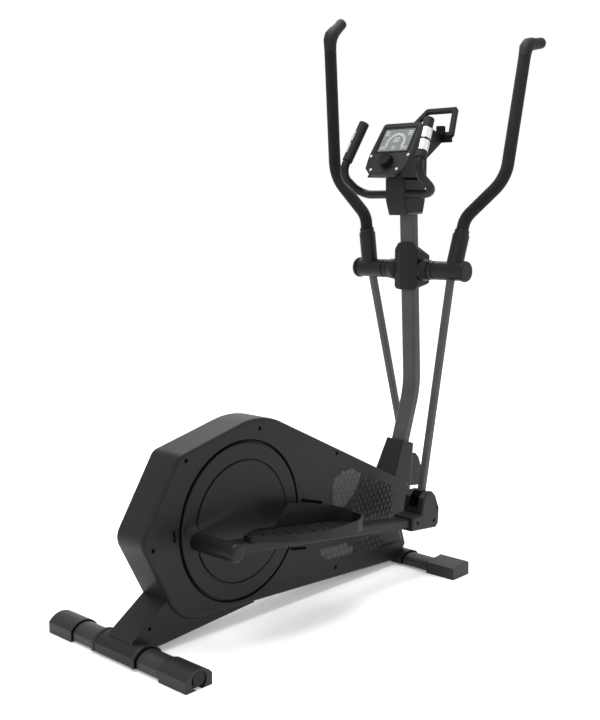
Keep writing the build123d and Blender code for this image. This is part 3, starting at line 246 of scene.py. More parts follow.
def grained(name, dark, light, grain_mm, depth_mm, roughness, shine=0.3):
    """A finish from two close colours, the width and depth of its grain, and how dull it is."""
    finish, tree, place = start_finish(name)
    cloud = add(tree, "ShaderNodeTexNoise", {"Vector": place, "Scale": per_metre(CLOUD_MM), "Detail": 3.0})
    grain = add(tree, "ShaderNodeTexNoise", {"Vector": place, "Scale": per_metre(grain_mm), "Detail": 2.0})
    shade = cloud.outputs["Fac"]
    tone = add(tree, "ShaderNodeValToRGB", {"Fac": shade}, stops=((TONE_FROM, dark), (TONE_TO, light)))
    polish = {"Value": shade, "To Min": roughness - POLISH_SHIFT, "To Max": roughness + POLISH_SHIFT}
    dull = add(tree, "ShaderNodeMapRange", polish)
    raised = add(tree, "ShaderNodeBump", {"Height": grain.outputs["Fac"], "Distance": depth_mm * MM})
    close_finish(
        tree,
        {
            "Base Color": tone.outputs["Color"],
            "Roughness": dull.outputs["Result"],
            "Specular IOR Level": shine,
            "Normal": raised.outputs["Normal"],
        },
    )
    return finish


# %% Plastics, paints and rubbers
# Spark-eroded covers: the grain spreads every highlight into a soft grey sheen.
grained_abs = grained("grained_abs", "#131314", "#171719", 1.6, 0.10, 0.42, shine=0.18)
# A shallower grain on disc, hub and console: broad, calm reflections.
satin_abs = grained("satin_abs", "#111112", "#151517", 2.2, 0.05, 0.42, shine=0.18)
# Glass fibre comes up to the skin of the feet: a paler and drier black.
filled_nylon = grained("glass_filled_nylon", "#161617", "#1c1c1d", 1.8, 0.10, 0.44, shine=0.25)
# Waxy pedals: a deep black with a weak highlight.
polypropylene = grained("moulded_polypropylene", "#0d0d0e", "#121213", 1.8, 0.10, 0.52, shine=0.18)
# Baked powder on post and rods: an even grey with a faint orange peel.
grey_paint = grained("grey_powder_coat", "#343536", "#3b3c3e", 2.4, 0.08, 0.46)
# The same powder in black: only the edges of the tubes light up.
black_paint = grained("black_powder_coat", "#0d0d0e", "#121213", 2.4, 0.08, 0.42, shine=0.2)
# A powder between the two on the stabilisers: a black that still shows its rounding.
charcoal_paint = grained("charcoal_powder_coat", "#1c1c1d", "#222223", 2.4, 0.08, 0.44)
# A coarse unpolished moulding: hardly a highlight at all.
matt_abs = grained("matt_abs", "#0e0e0f", "#131314", 1.6, 0.10, 0.72, shine=0.12)
# Skin-like rubber on the handle ends: dull, with a wide faint glow.
soft_rubber = grained("soft_touch_rubber", "#121213", "#171718", 1.2, 0.08, 0.60, shine=0.20)
# Bushes without pigment: a warm, slightly waxy grey.
natural_nylon = grained("natural_nylon", "#6c6b66", "#787770", 2.0, 0.05, 0.45)
# Pressed rubber of the belt: black and dry.
belt_rubber = grained("belt_rubber", "#151516", "#1b1b1c", 1.5, 0.10, 0.65, shine=0.2)
# Polished keys: pale, with small crisp highlights.
white_abs = grained("white_gloss_abs", "#a2a2a1", "#b0b0ae", 3.0, 0.02, 0.30, shine=0.4)
# Painted shade: a near-black laid on gaps, slots, holes and hollows, dark from every side whatever the
# light.
painted_shade_black = grained("painted_shade_black_abs", "#020202", "#050505", 1.6, 0.10, 0.80, shine=0.03)
# Printed film on the covers: a flat tone beside the grain, lighter or darker than it.
pale_film = grained("pale_printed_film", "#29292a", "#2e2e30", 1.4, 0.05, 0.46)
dark_film = grained("dark_printed_film", "#070708", "#0a0a0b", 1.4, 0.05, 0.50, shine=0.15)
# Thick ink on the film: its slopes catch the light, so each dot reads as raised.
pale_ink = grained("pale_raised_ink", "#323334", "#3a3b3c", 1.4, 0.05, 0.42)
dark_ink = grained("dark_raised_ink", "#161617", "#1b1b1c", 1.4, 0.05, 0.44, shine=0.2)
print("grained finishes made, from", grained_abs.name, "to", dark_ink.name)

# %% [markdown]
# ## Foam, metals and the display
#
# The grips are closed cell foam: tiny skinned bubbles that scatter light, so a cell pattern with high
# roughness and some sheen. Cells of 0.5 mm are drawn at 1.8 mm to show. The pulse plates are brushed
# stainless steel, whose lines run along the plate, so the noise is drawn out one way. The display is a
# grey liquid crystal behind a clear window, and its lattice is drawn coarser than the real one of about
# 0.3 mm.

# %% Foam
FOAM_CELL_MM = 1.8
FOAM_WEAR_MM = 45.0
FOAM_PIT_MM = 0.35
closed_cell_foam, tree, place = start_finish("closed_cell_foam")
cells = add(tree, "ShaderNodeTexVoronoi", {"Vector": place, "Scale": per_metre(FOAM_CELL_MM)})
wear = add(tree, "ShaderNodeTexNoise", {"Vector": place, "Scale": per_metre(FOAM_WEAR_MM), "Detail": 4.0})
worn = ((TONE_FROM, "#0e0e0f"), (TONE_TO, "#141415"))
tone = add(tree, "ShaderNodeValToRGB", {"Fac": wear.outputs["Fac"]}, stops=worn)
pits = {"Height": cells.outputs["Distance"], "Distance": FOAM_PIT_MM * MM, "Strength": 0.8}
raised = add(tree, "ShaderNodeBump", pits, invert=True)
close_finish(
    tree,
    {
        "Base Color": tone.outputs["Color"],
        "Roughness": 0.80,
        "Specular IOR Level": 0.14,
        "Sheen Weight": 0.04,
        "Sheen Roughness": 0.6,
        "Normal": raised.outputs["Normal"],
    },
)
print(closed_cell_foam.name, "made of", len(tree.nodes), "nodes")

# %% Metals
BRUSH_FROM, BRUSH_TO = 0.25, 0.75
BRUSH_SHIFT = 0.08


def metal(name, dark, light, line_mm, stretch, roughness, depth_mm):
    """A worked metal from two close colours, the width, run and depth of its lines, and how dull it is."""
    finish, tree, place = start_finish(name)
    along = add(tree, "ShaderNodeMapping", {"Vector": place, "Scale": stretch})
    lines = {"Vector": along.outputs["Vector"], "Scale": per_metre(line_mm), "Detail": 4.0}
    shade = add(tree, "ShaderNodeTexNoise", lines).outputs["Fac"]
    tone = add(tree, "ShaderNodeValToRGB", {"Fac": shade}, stops=((BRUSH_FROM, dark), (BRUSH_TO, light)))
    polish = {"Value": shade, "To Min": roughness - BRUSH_SHIFT, "To Max": roughness + BRUSH_SHIFT}
    dull = add(tree, "ShaderNodeMapRange", polish)
    raised = add(tree, "ShaderNodeBump", {"Height": shade, "Distance": depth_mm * MM})
    close_finish(
        tree,
        {
            "Base Color": tone.outputs["Color"],
            "Metallic": 1.0,
            "Roughness": dull.outputs["Result"],
            "Normal": raised.outputs["Normal"],
        },
    )
    return finish


# Brushed plates: bright, with reflections drawn out along the lines.
stainless = metal("brushed_stainless_steel", "#c9cacb", "#e4e5e6", 1.2, (1.0, 1.0, 0.1), 0.34, 0.03)
# Plated fasteners and axles: a cloudy, slightly blue grey.
zinc_steel = metal("zinc_plated_steel", "#8e9092", "#a6a8aa", 3.0, (1.0, 1.0, 1.0), 0.40, 0.03)
# Turned iron of the flywheel: dark, with the tool's marks across the rim.
turned_iron = metal("turned_cast_iron", "#5a5a5b", "#717172", 2.0, (1.0, 0.2, 1.0), 0.45, 0.06)
print("metals made")

# %% Display
LCD_DOT_MM = 1.2
lcd_glass, tree, place = start_finish("liquid_crystal_window")
lattice = {"Vector": place, "Scale": per_metre(LCD_DOT_MM), "Randomness": 0.1}
crystal = add(tree, "ShaderNodeTexVoronoi", lattice).outputs["Distance"]
tint = add(tree, "ShaderNodeValToRGB", {"Fac": crystal}, stops=((0.0, "#5e6061"), (1.0, "#6a6c6d")))
# The window is smooth and hard: a clear weak reflection over the grey.
close_finish(tree, {"Base Color": tint.outputs["Color"], "Roughness": 0.18, "Specular IOR Level": 0.3})
# The lit bars are as even as printing: a pale tone without depth.
lit_segments = grained("lit_segments", "#a9abac", "#bbbdbe", 1.0, 0.01, 0.40)
print(lcd_glass.name, "and", lit_segments.name, "made")

# %% [markdown]
# ## Dressing the imported parts
#
# Each imported node names a material slot, so most of the machine is dressed by a short table. A few nodes
# differ from their slot: the post and the rods are painted grey, but the other tubes are black. The visible
# screws are black too, and take the painted shade black that also stands for the dark of their holes.

# %% Finishes by slot
FINISHES = {
    "cover_plastic": grained_abs,
    "disc_plastic": satin_abs,
    "foot_plastic": filled_nylon,
    "frame_paint": grey_paint,
    "steel": zinc_steel,
    "flywheel_iron": turned_iron,
    "foam": closed_cell_foam,
    "grip_rubber": soft_rubber,
    "pulse_plate": stainless,
    "console_plastic": satin_abs,
    "display_window": lcd_glass,
    "key_plastic": white_abs,
    "pedal_plastic": polypropylene,
    "nylon": natural_nylon,
    "belt_rubber": belt_rubber,
}
SLOT_OF = {part["node"]: part["material_slot"] for part in frame["record"]["subparts"]}
OWN_FINISH = {
    # Black screws in holes: the painted shade black gives both the screw and the shade of its hole.
    "cover_screws": painted_shade_black,
    "front_stabiliser": charcoal_paint,
    "level_dial_left": polypropylene,
    "level_dial_right": polypropylene,
    "pedal_arm_left": black_paint,
    "pedal_arm_right": black_paint,
    "pulse_bar": black_paint,
    "rear_stabiliser": charcoal_paint,
    "tablet_holder": matt_abs,
}
BODY_OF = {name: node["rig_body"] for name, node in nodes.items()}


def finish_of(name):
    return OWN_FINISH.get(name, FINISHES[SLOT_OF[name]])


for name, node in nodes.items():
    node.data.materials.clear()
    node.data.materials.append(finish_of(name))
print("dressed", len(nodes), "nodes")

# %% [markdown]
# ## Soft edges on the mouldings
#
# A drawing has knife edges, but a moulding never does, and the thin bright line along a rounded edge is
# what makes plastic look real. A Bevel modifier finds no shared edges on the node's loose triangles. So a
# copy of the node is merged into one skin, flat triangles are dissolved into whole faces, and only the
# sharp edges are bevelled. The node itself is left alone, and the copy stands for it.

# %% From a bmesh to a piece
SHARP = math.radians(28)


def new_object(name, shape, finish):
    """Turns a finished bmesh into an object at the origin."""
    mesh = bpy.data.meshes.new(name)
    shape.to_mesh(mesh)
    shape.free()
    mesh.materials.append(finish)
    made = bpy.data.objects.new(name, mesh)
    bpy.context.scene.collection.objects.link(made)
    return made


def keep_piece(name, shape, body, finish, crease=35):
    """Turns a finished bmesh into a piece that rides on a body."""
    piece = new_object(name, shape, finish)
    piece.data.shade_smooth()
    piece.data.set_sharp_from_angle(angle=math.radians(crease))
    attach(piece, body)
    return piece


def sharp_edges(shape):
    return [edge for edge in shape.edges if edge.is_manifold and edge.calc_face_angle() > SHARP]


def round_edges(shape, edges, width, steps=2, clamp=False):
    bmesh.ops.bevel(
        shape,
        geom=edges,
        offset=width,
        affect="EDGES",
        segments=steps,
        profile=0.5,
        clamp_overlap=clamp,
        material=-1,
    )


def keep_flats_flat(piece):
    """Lets the large faces of a bevelled piece lead its shading."""
    piece.modifiers.new("flat_faces_stay_flat", "WEIGHTED_NORMAL").keep_sharp = True


print("edges past", round(math.degrees(SHARP)), "degrees count as sharp")

# %% Bevelled copies
FLAT = math.radians(0.6)
MERGE = 0.01
SOFT_EDGES = {
    "console_neck": 2.0,
    "console_back": 1.5,
    "tablet_holder": 1.5,
    "post_shroud": 2.0,
    "rear_leg_cover": 2.0,
    "front_saddle": 2.0,
    "foot_caps": 2.0,
    "joint_covers_left": 1.5,
    "joint_covers_right": 1.5,
    "socket_cover_left": 1.2,
    "socket_cover_right": 1.2,
    "pedal_left": 1.5,
    "pedal_right": 1.5,
}


def soften(name, width):
    """Puts a bevelled copy in the place of a node and counts its rounded edges."""
    shape = bmesh.new()
    shape.from_mesh(nodes[name].data)
    bmesh.ops.remove_doubles(shape, verts=shape.verts, dist=MERGE * MM)
    bmesh.ops.dissolve_limit(shape, angle_limit=FLAT, verts=shape.verts, edges=shape.edges)
    sharp = sharp_edges(shape)
    round_edges(shape, sharp, width * MM, clamp=True)
    piece = keep_piece(name + ".soft", shape, BODY_OF[name], finish_of(name), crease=40)
    keep_flats_flat(piece)
    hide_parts(name)
    return len(sharp)


for name, width in SOFT_EDGES.items():
    print(name, "softened along", soften(name, width), "edges")

# %% [markdown]
# ## Raised panels on the side covers
#
# In front of the disc each cover has a panel that rises slowly towards the front, so its upper and lower
# edges show as creases that fade out near the disc. It could be cut from a solid with a slanted plane,
# but a fading edge is easier to steer on a plate: it is drawn on the cover's face, its top is inset to
# leave the sloped border, and the inner face is then tilted outward with the distance from the disc.

# %% Plates in a flat frame


def flat_face(shape, outline, height):
    return shape.faces.new([shape.verts.new((a, b, height)) for a, b in outline])


def raise_face(shape, face, height):
    """Pulls a flat face out into a closed plate and gives its top."""
    grown = bmesh.ops.extrude_face_region(shape, geom=[face])["geom"]
    corners = [part for part in grown if isinstance(part, bmesh.types.BMVert)]
    bmesh.ops.translate(shape, vec=(0, 0, height), verts=corners)
    return next(part for part in grown if isinstance(part, bmesh.types.BMFace))


def set_in_place(shape, matrix):
    bmesh.ops.transform(shape, matrix=matrix, verts=shape.verts)
    bmesh.ops.recalc_face_normals(shape, faces=shape.faces)


# %% Crease panels
PANEL_OUTLINE = [
    (216, 348),
    (284, 341),
    (392, 349),
    (578, 290),
    (720, 216),
    (720, 198),
    (666, 110),
    (684, 66),
    (533, 68),
    (300, 98),
    (238, 140),
    (222, 230),
]
PANEL_BORDER = 11.0
PANEL_STARTS, PANEL_ENDS = 225.0, 720.0
PANEL_RISE = 0.0068
PANEL_ROOT = -2.0
UNDER = -0.3


def panel_height(forward):
    return max(UNDER, UNDER + (forward - PANEL_STARTS) * PANEL_RISE)


for side in SIDES:
    shape = bmesh.new()
    top = raise_face(shape, flat_face(shape, PANEL_OUTLINE, PANEL_ROOT), UNDER - PANEL_ROOT)
    bmesh.ops.inset_region(shape, faces=[top], thickness=PANEL_BORDER, use_even_offset=True)
    for corner in top.verts:
        corner.co.z = panel_height(corner.co.x)
    set_in_place(shape, cover_frame(side))
    keep_piece("cover_panel." + side, shape, "machine", grained_abs, crease=3)
print("panels rise", round(panel_height(PANEL_ENDS), 1), "mm at the front")

# %% [markdown]
# ## Honeycomb fields
#
# Each panel carries four printed fields with raised six-sided dots: two pale ones near the disc and two
# dark ones in front of them. A bump pattern could draw the dots, but real ones also keep their shape in a
# viewer without shaders. A field is a thin film cut to a convex outline. The dots are low six-sided cones
# of eight faces on a staggered grid, and a side test keeps those whose middle lies inside the outline.

# %% Places of the dots
FIELDS = {
    "pale_upper": [(358, 322), (434, 339), (478, 316), (461, 272), (413, 236), (352, 215)],
    "dark_upper": [(489, 300), (621, 252), (623, 162), (477, 186), (421, 228)],
    "pale_lower": [(298, 128), (399, 122), (444, 101), (437, 83), (328, 93)],
    "dark_lower": [(441, 121), (571, 110), (586, 83), (478, 78), (437, 92)],
}
DOT_PITCH = 19.0
ROW_PITCH = DOT_PITCH * math.sqrt(3) / 2


def inside(outline, spot):
    """Whether a spot is to the right of every side of an outline drawn clockwise."""
    ends = zip(outline, outline[1:] + outline[:1])
    return all((Vector(end) - Vector(start)).cross(spot - Vector(start)) < 0 for start, end in ends)


def dot_places(outline):
    left, right = min(spot[0] for spot in outline), max(spot[0] for spot in outline)
    low, high = min(spot[1] for spot in outline), max(spot[1] for spot in outline)
    for row in range(int(low / ROW_PITCH), int(high / ROW_PITCH) + 1):
        for column in range(int(left / DOT_PITCH), int(right / DOT_PITCH) + 1):
            spot = Vector(((column + row % 2 / 2) * DOT_PITCH, row * ROW_PITCH))
            if inside(outline, spot):
                yield spot


for name, outline in FIELDS.items():
    print(name, "has", len(list(dot_places(outline))), "dots")

# %% Film and dots
PRINTS = {"pale": (pale_film, pale_ink), "dark": (dark_film, dark_ink)}
FILM = 0.15
FILM_ROOT = -1.0
DOT_SIDES = 6
DOT_RADIUS, DOT_TOP = 9.2, 6.4
DOT_LIFT, DOT_SINK = 1.1, 0.1


def drum(shape, place, foot, top, length, steps):
    """Adds a capped cone or cylinder round a place, with the radius of its foot and of its top."""
    bmesh.ops.create_cone(
        shape,
        cap_ends=True,
        segments=steps,
        radius1=foot,
        radius2=top,
        depth=length,
        matrix=place,
    )


for side in SIDES:
    for name, outline in FIELDS.items():
        film, ink = PRINTS[name.split("_")[0]]
        shape = bmesh.new()
        top = raise_face(shape, flat_face(shape, outline, FILM_ROOT), -FILM_ROOT)
        for corner in top.verts:
            corner.co.z = panel_height(corner.co.x) + FILM
        set_in_place(shape, cover_frame(side))
        keep_piece(f"film_{name}.{side}", shape, "machine", film)
        shape = bmesh.new()
        for spot in dot_places(outline):
            base = panel_height(spot.x) + FILM - DOT_SINK
            middle = Matrix.Translation((*spot, base + DOT_LIFT / 2))
            drum(shape, middle, DOT_RADIUS, DOT_TOP, DOT_LIFT, DOT_SIDES)
        set_in_place(shape, cover_frame(side))
        dots = keep_piece(f"dots_{name}.{side}", shape, "machine", ink)
    print(side, "fields laid, the last with", len(dots.data.polygons), "faces")

# %% [markdown]
# ## Dark slots and lines round the disc
#
# Three narrow openings in the cover follow the disc. Cutting them would need a boolean on the cover, so a
# plate in painted shade black, with a sunk middle, is laid on it instead: half of a disc's corners are drawn
# away from the other half, which gives round ends. The gap round the disc and the groove on it are painted
# shadow lines in the same black. Each is a round face that is inset, with its middle taken out.

# %% Slots
SLOTS = [((230, 284), (306, 263), 4.6), ((186, 157), (242, 147), 4.0), ((-228, 296), (-226, 272), 3.2)]
SLOT_STEPS = 20
SLOT_ROOT, SLOT_LIP = -1.0, 0.9
SLOT_RIM, SLOT_DIP = 0.8, 0.4


def round_face(shape, spot, height, radius, steps):
    """A flat round face and nothing else."""
    ring = bmesh.ops.create_circle(shape, cap_ends=True, segments=steps, radius=radius)["verts"]
    bmesh.ops.translate(shape, vec=(*spot, height), verts=ring)
    return ring[0].link_faces[0]


def round_ended(shape, start, end, radius, low, high):
    """A plate with two round ends."""
    first, last = Vector(start), Vector(end)
    face = round_face(shape, first, low, radius, SLOT_STEPS)
    far = [corner for corner in face.verts if (corner.co.xy - first).dot(last - first) > 0]
    bmesh.ops.translate(shape, vec=(*(last - first), 0), verts=far)
    return raise_face(shape, face, high - low)


for side in SIDES:
    shape = bmesh.new()
    for start, end, radius in SLOTS:
        top = round_ended(shape, start, end, radius, SLOT_ROOT, panel_height(end[0]) + SLOT_LIP)
        bmesh.ops.inset_region(shape, faces=[top], thickness=SLOT_RIM, depth=-SLOT_DIP)
    set_in_place(shape, cover_frame(side))
    # Painted shade: each slot is a near-black plate on the cover, not an opening.
    keep_piece("cover_slots." + side, shape, "machine", painted_shade_black)
print(len(SLOTS), "slots a side")

# %% Shadow lines on and round the disc
DISC_AT = AXLE_AT.xz
# Body, outer radius, width and height over the cover's face.
LINES = {"disc_shadow": ("machine", 212.2, 3.6, 0.25), "groove_shadow": ("crank", 162.1, 1.7, 3.15)}
LINE_STEPS = 128


def take_out_middle(shape, face, border):
    """Leaves only a border of a flat face."""
    bmesh.ops.inset_region(shape, faces=[face], thickness=border, use_boundary=True, use_even_offset=True)
    bmesh.ops.delete(shape, geom=[face], context="FACES")


for side in SIDES:
    for name, (body, outer, width, height) in LINES.items():
        shape = bmesh.new()
        take_out_middle(shape, round_face(shape, DISC_AT, height, outer, LINE_STEPS), width)
        set_in_place(shape, cover_frame(side))
        # Painted shadow lines: near-black rings for the gap round the disc and the groove on it.
        line = keep_piece(f"{name}.{side}", shape, body, painted_shade_black)
    print(side, "shadow lines of", len(line.data.polygons), "faces")

# %% [markdown]
# ## Crank discs
#
# The fairing from the hub to the pin is moulded in one with the disc and swells out of it without an
# edge. A second solid with a bevel would leave a line, so the disc is a profile spun a full turn, with a
# corner every 3 mm. Each corner on its face is then lifted by how far inside the fairing's outline it
# lies, and the more so the nearer it is to the pin.

# %% Profile and swelling of the disc
DISH, FACE, GROOVE, BACK = 4.5, 3.0, 1.0, -3.5
DISC_PROFILE = [
    *((radius, DISH) for radius in range(3, 158, 3)),
    (157.5, DISH),
    (157.6, GROOVE),
    (160.4, GROOVE),
    (160.5, FACE),
    *((radius, FACE) for radius in range(163, 203, 3)),
    (204.0, GROOVE),
    (204.0, BACK),
]
FAIRING_TOP, FAIRING_HUB, FAIRING_EYE, FAIRING_BLEND = 13.0, 46.0, 29.0, 24.0


def spun(profile, axis, steps):
    """A closed skin: a profile turned once round an axis."""
    shape = bmesh.new()
    corners = [shape.verts.new(corner) for corner in profile]
    edges = [shape.edges.new(pair) for pair in zip(corners, corners[1:])]
    bmesh.ops.spin(
        shape,
        geom=corners + edges,
        cent=(0, 0, 0),
        axis=axis,
        angle=math.tau,
        steps=steps,
        use_merge=True,
    )
    bmesh.ops.remove_doubles(shape, verts=shape.verts, dist=MERGE)
    bmesh.ops.holes_fill(shape, edges=[edge for edge in shape.edges if edge.is_boundary])
    return shape


def swell(spot, pin):
    """How much of the fairing's rise a spot on the disc gets."""
    along = min(max(spot.dot(pin) / pin.length_squared, 0.0), 1.0)
    depth = FAIRING_HUB + (FAIRING_EYE - FAIRING_HUB) * along - (spot - pin * along).length
    share = min(max(0.5 + depth / FAIRING_BLEND, 0.0), 1.0)
    return along * share * share * (3 - 2 * share)


print(len(DISC_PROFILE), "corners in the disc's profile")

# %% Discs
DISC_STEPS = 240
BOSS_RADIUS, BOSS_TOP, BOSS_STEPS = 23.0, 16.4, 48
for side in SIDES:
    pin = PIN_AT[side].xz - DISC_AT
    shape = spun([(radius, 0, height) for radius, height in DISC_PROFILE], (0, 0, 1), DISC_STEPS)
    for corner in shape.verts:
        if corner.co.z > BACK:
            corner.co.z += (FAIRING_TOP - corner.co.z) * swell(corner.co.xy, pin)
    boss_middle = Matrix.Translation((*pin, (BOSS_TOP + FACE) / 2))
    drum(shape, boss_middle, BOSS_RADIUS, BOSS_RADIUS, BOSS_TOP - FACE, BOSS_STEPS)
    set_in_place(shape, cover_frame(side) @ Matrix.Translation((*DISC_AT, 0)))
    disc = keep_piece("crank_disc." + side, shape, "crank", satin_abs)
    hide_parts("crank_discs")
    print(disc.name, len(disc.data.polygons), "faces")

# %% [markdown]
# ## Tread on the footplates
#
# Shoes are kept from sliding by rows of long rubbery blocks, laid like bricks. A bump would look flat
# from the side, so each block is a box in the frame of the pedal tube. The tops are bevelled together at
# the end, which gives all of them the same soft edge.

# %% Tread blocks
TREAD_BASE, TREAD_HEIGHT = 20.3, 2.6
TREAD_SOFT = 0.9
# How far out a row lies, and where it starts and ends along the tube.
TREAD_ROWS = [
    (122, 165, 446),
    (135, 128, 464),
    (148, 100, 472),
    (161, 86, 476),
    (174, 88, 474),
    (187, 112, 468),
    (200, 145, 452),
    (212, 180, 425),
    (223, 225, 395),
]
BLOCK_LENGTH, BLOCK_WIDTH, BLOCK_GAP = 36.0, 9.0, 4.0
TREAD_MIDDLE = TREAD_BASE + TREAD_HEIGHT / 2

for side in SIDES:
    shape = bmesh.new()
    for out, first, last in TREAD_ROWS:
        count = int((last - first) / (BLOCK_LENGTH + BLOCK_GAP))
        length = (last - first) / count - BLOCK_GAP
        sizes = Matrix.Diagonal((length, BLOCK_WIDTH, TREAD_HEIGHT, 1))
        for column in range(count):
            along = first + (column + 0.5) * (length + BLOCK_GAP)
            bmesh.ops.create_cube(shape, matrix=Matrix.Translation((along, out, TREAD_MIDDLE)) @ sizes)
    tops = [edge for edge in shape.edges if all(corner.co.z > TREAD_MIDDLE for corner in edge.verts)]
    round_edges(shape, tops, TREAD_SOFT)
    set_in_place(shape, tube_frame(side))
    tread = keep_piece("pedal_tread." + side, shape, "pedal_" + side, polypropylene)
    print(tread.name, len(tread.data.polygons), "faces")

# %% [markdown]
# ## Moulded ends of the handlebars
#
# Each bar ends in a rubber horn that bends forward: widest where it turns and a little slimmer at the
# tip, with a shallow hollow in its end. A curve with a bevel would do for an even thickness. Here rings
# are set along the bend, each square to it, and joined with bridges, so the thickness can change on the
# way.

# %% Horns
HORN_RINGS = [
    ((0, 242.0, 668.5), 18.6),
    ((0, 241.0, 684.0), 19.2),
    ((1, 239.8, 699.0), 21.0),
    ((8, 239.6, 712.0), 21.5),
    ((22, 240.6, 722.0), 19.5),
    ((38, 242.0, 730.0), 17.5),
    ((52, 243.0, 738.0), 16.8),
    ((62, 243.8, 744.0), 16.8),
    ((68, 244.2, 747.5), 16.2),
]
HORN_STEPS = 24
TIP_ROUND, TIP_BULGE = 2.0, 1.0
TIP_RIM, TIP_HOLLOW = 4.0, 3.0


def limb(shape, rings, steps):
    """Joins rings along a bent line into a closed limb and gives its last face."""
    centres = [Vector(centre) for centre, radius in rings]
    loops = []
    for i, (centre, radius) in enumerate(rings):
        ahead = centres[min(i + 1, len(rings) - 1)] - centres[max(i - 1, 0)]
        place = Matrix.Translation(centre) @ ahead.to_track_quat("Z", "Y").to_matrix().to_4x4()
        ring = bmesh.ops.create_circle(shape, segments=steps, radius=radius, matrix=place)["verts"]
        loops.append(list({edge for corner in ring for edge in corner.link_edges}))
    for near, far in zip(loops, loops[1:]):
        bmesh.ops.bridge_loops(shape, edges=near + far)
    caps = [bmesh.ops.contextual_create(shape, geom=loop)["faces"][0] for loop in (loops[0], loops[-1])]
    return caps[-1]


for side in SIDES:
    shape = bmesh.new()
    tip = limb(shape, HORN_RINGS, HORN_STEPS)
    bmesh.ops.inset_region(shape, faces=[tip], thickness=TIP_ROUND, depth=TIP_BULGE)
    bmesh.ops.inset_region(shape, faces=[tip], thickness=TIP_RIM, depth=-TIP_HOLLOW)
    set_in_place(shape, handle_frame(side))
    horn = keep_piece("handle_horn." + side, shape, "swing_" + side, soft_rubber, crease=60)
    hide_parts("handle_end_" + side)
    print(horn.name, len(horn.data.polygons), "faces")

# %% [markdown]
# ## Console
#
# The console's front has a frame round the display, a ribbed knob and a window that shows an arc of bars
# and rows of figures. A text object would bring a font's curves along, so the figures are plain zeros of
# six bars. The bars are thin plates that lie on the window, drawn in the panel's own frame: across, up
# its slope and outward. The knob is a blunt cone, and every second flank of it is pressed in, which
# leaves the ribs.

# %% Display frame
DISPLAY_WIDTH, DISPLAY_HEIGHT = 110.0, 80.0
BEZEL, BEZEL_LAP = 5.0, 1.0
BEZEL_ROOT, BEZEL_LIFT = -0.5, 2.0
BEZEL_SOFT = 0.8
half, high = DISPLAY_WIDTH / 2 + BEZEL, DISPLAY_HEIGHT + BEZEL
shape = bmesh.new()
window = flat_face(shape, [(-half, -BEZEL), (half, -BEZEL), (half, high), (-half, high)], BEZEL_ROOT)
take_out_middle(shape, window, BEZEL + BEZEL_LAP)
grown = bmesh.ops.extrude_face_region(shape, geom=list(shape.faces))["geom"]
lifted = [part for part in grown if isinstance(part, bmesh.types.BMVert)]
bmesh.ops.translate(shape, vec=(0, 0, BEZEL_LIFT), verts=lifted)
rims = [edge for edge in sharp_edges(shape) if all(corner in lifted for corner in edge.verts)]
round_edges(shape, rims, BEZEL_SOFT)
set_in_place(shape, PANEL)
bezel = keep_piece("console_bezel", shape, "machine", satin_abs)
print(bezel.name, len(bezel.data.polygons), "faces")

# %% Bars and zeros
GLASS, INK = -1.5, 0.15
BAR_TRIM = 0.3
ZERO_STROKES = [
    ((0, 2), (1, 2)),
    ((1, 2), (1, 1)),
    ((1, 1), (1, 0)),
    ((0, 0), (1, 0)),
    ((0, 1), (0, 0)),
    ((0, 2), (0, 1)),
]
ZERO_PITCH, STROKE_SHARE = 1.6, 0.13


def bar_between(shape, start, end, width):
    """A thin bar on the window."""
    first, last = Vector(start), Vector(end)
    along = (last - first).normalized()
    aside = Vector((-along.y, along.x)) * width / 2
    first, last = first + along * width * BAR_TRIM, last - along * width * BAR_TRIM
    outline = [first - aside, last - aside, last + aside, first + aside]
    raise_face(shape, flat_face(shape, outline, GLASS), INK)


def zeros(shape, count, at, height):
    """A row of zeros from its lower left corner."""
    for place in range(count):
        for stroke in ZERO_STROKES:
            ends = [
                (at[0] + (place * ZERO_PITCH + across) * height / 2, at[1] + up * height / 2)
                for across, up in stroke
            ]
            bar_between(shape, *ends, height * STROKE_SHARE)


# %% Figures
ARC_AT, ARC_INNER, ARC_OUTER = Vector((0.0, 30.0)), 26.0, 36.0
ARC_BARS, ARC_START, ARC_STEP, ARC_WIDTH = 17, 200, 13.75, 4.0
# Number of zeros, lower left corner and height of each row.
ZERO_ROWS = [(2, (-9, 34), 14), (3, (-48, 8), 9), (2, (-7, 8), 9), (3, (28, 8), 9)]
DASH_ACROSS, DASH_UP, DASH_HALF, DASH_WIDTH = (-42, 42), (58, 64, 70), 8, 2.0

shape = bmesh.new()
for step in range(ARC_BARS):
    angle = math.radians(ARC_START - step * ARC_STEP)
    way = Vector((math.cos(angle), math.sin(angle)))
    bar_between(shape, ARC_AT + way * ARC_INNER, ARC_AT + way * ARC_OUTER, ARC_WIDTH)
for count, at, height in ZERO_ROWS:
    zeros(shape, count, at, height)
for across in DASH_ACROSS:
    for up in DASH_UP:
        bar_between(shape, (across - DASH_HALF, up), (across + DASH_HALF, up), DASH_WIDTH)
set_in_place(shape, PANEL)
shown = keep_piece("display_figures", shape, "machine", lit_segments)
print(shown.name, len(shown.data.polygons), "faces")

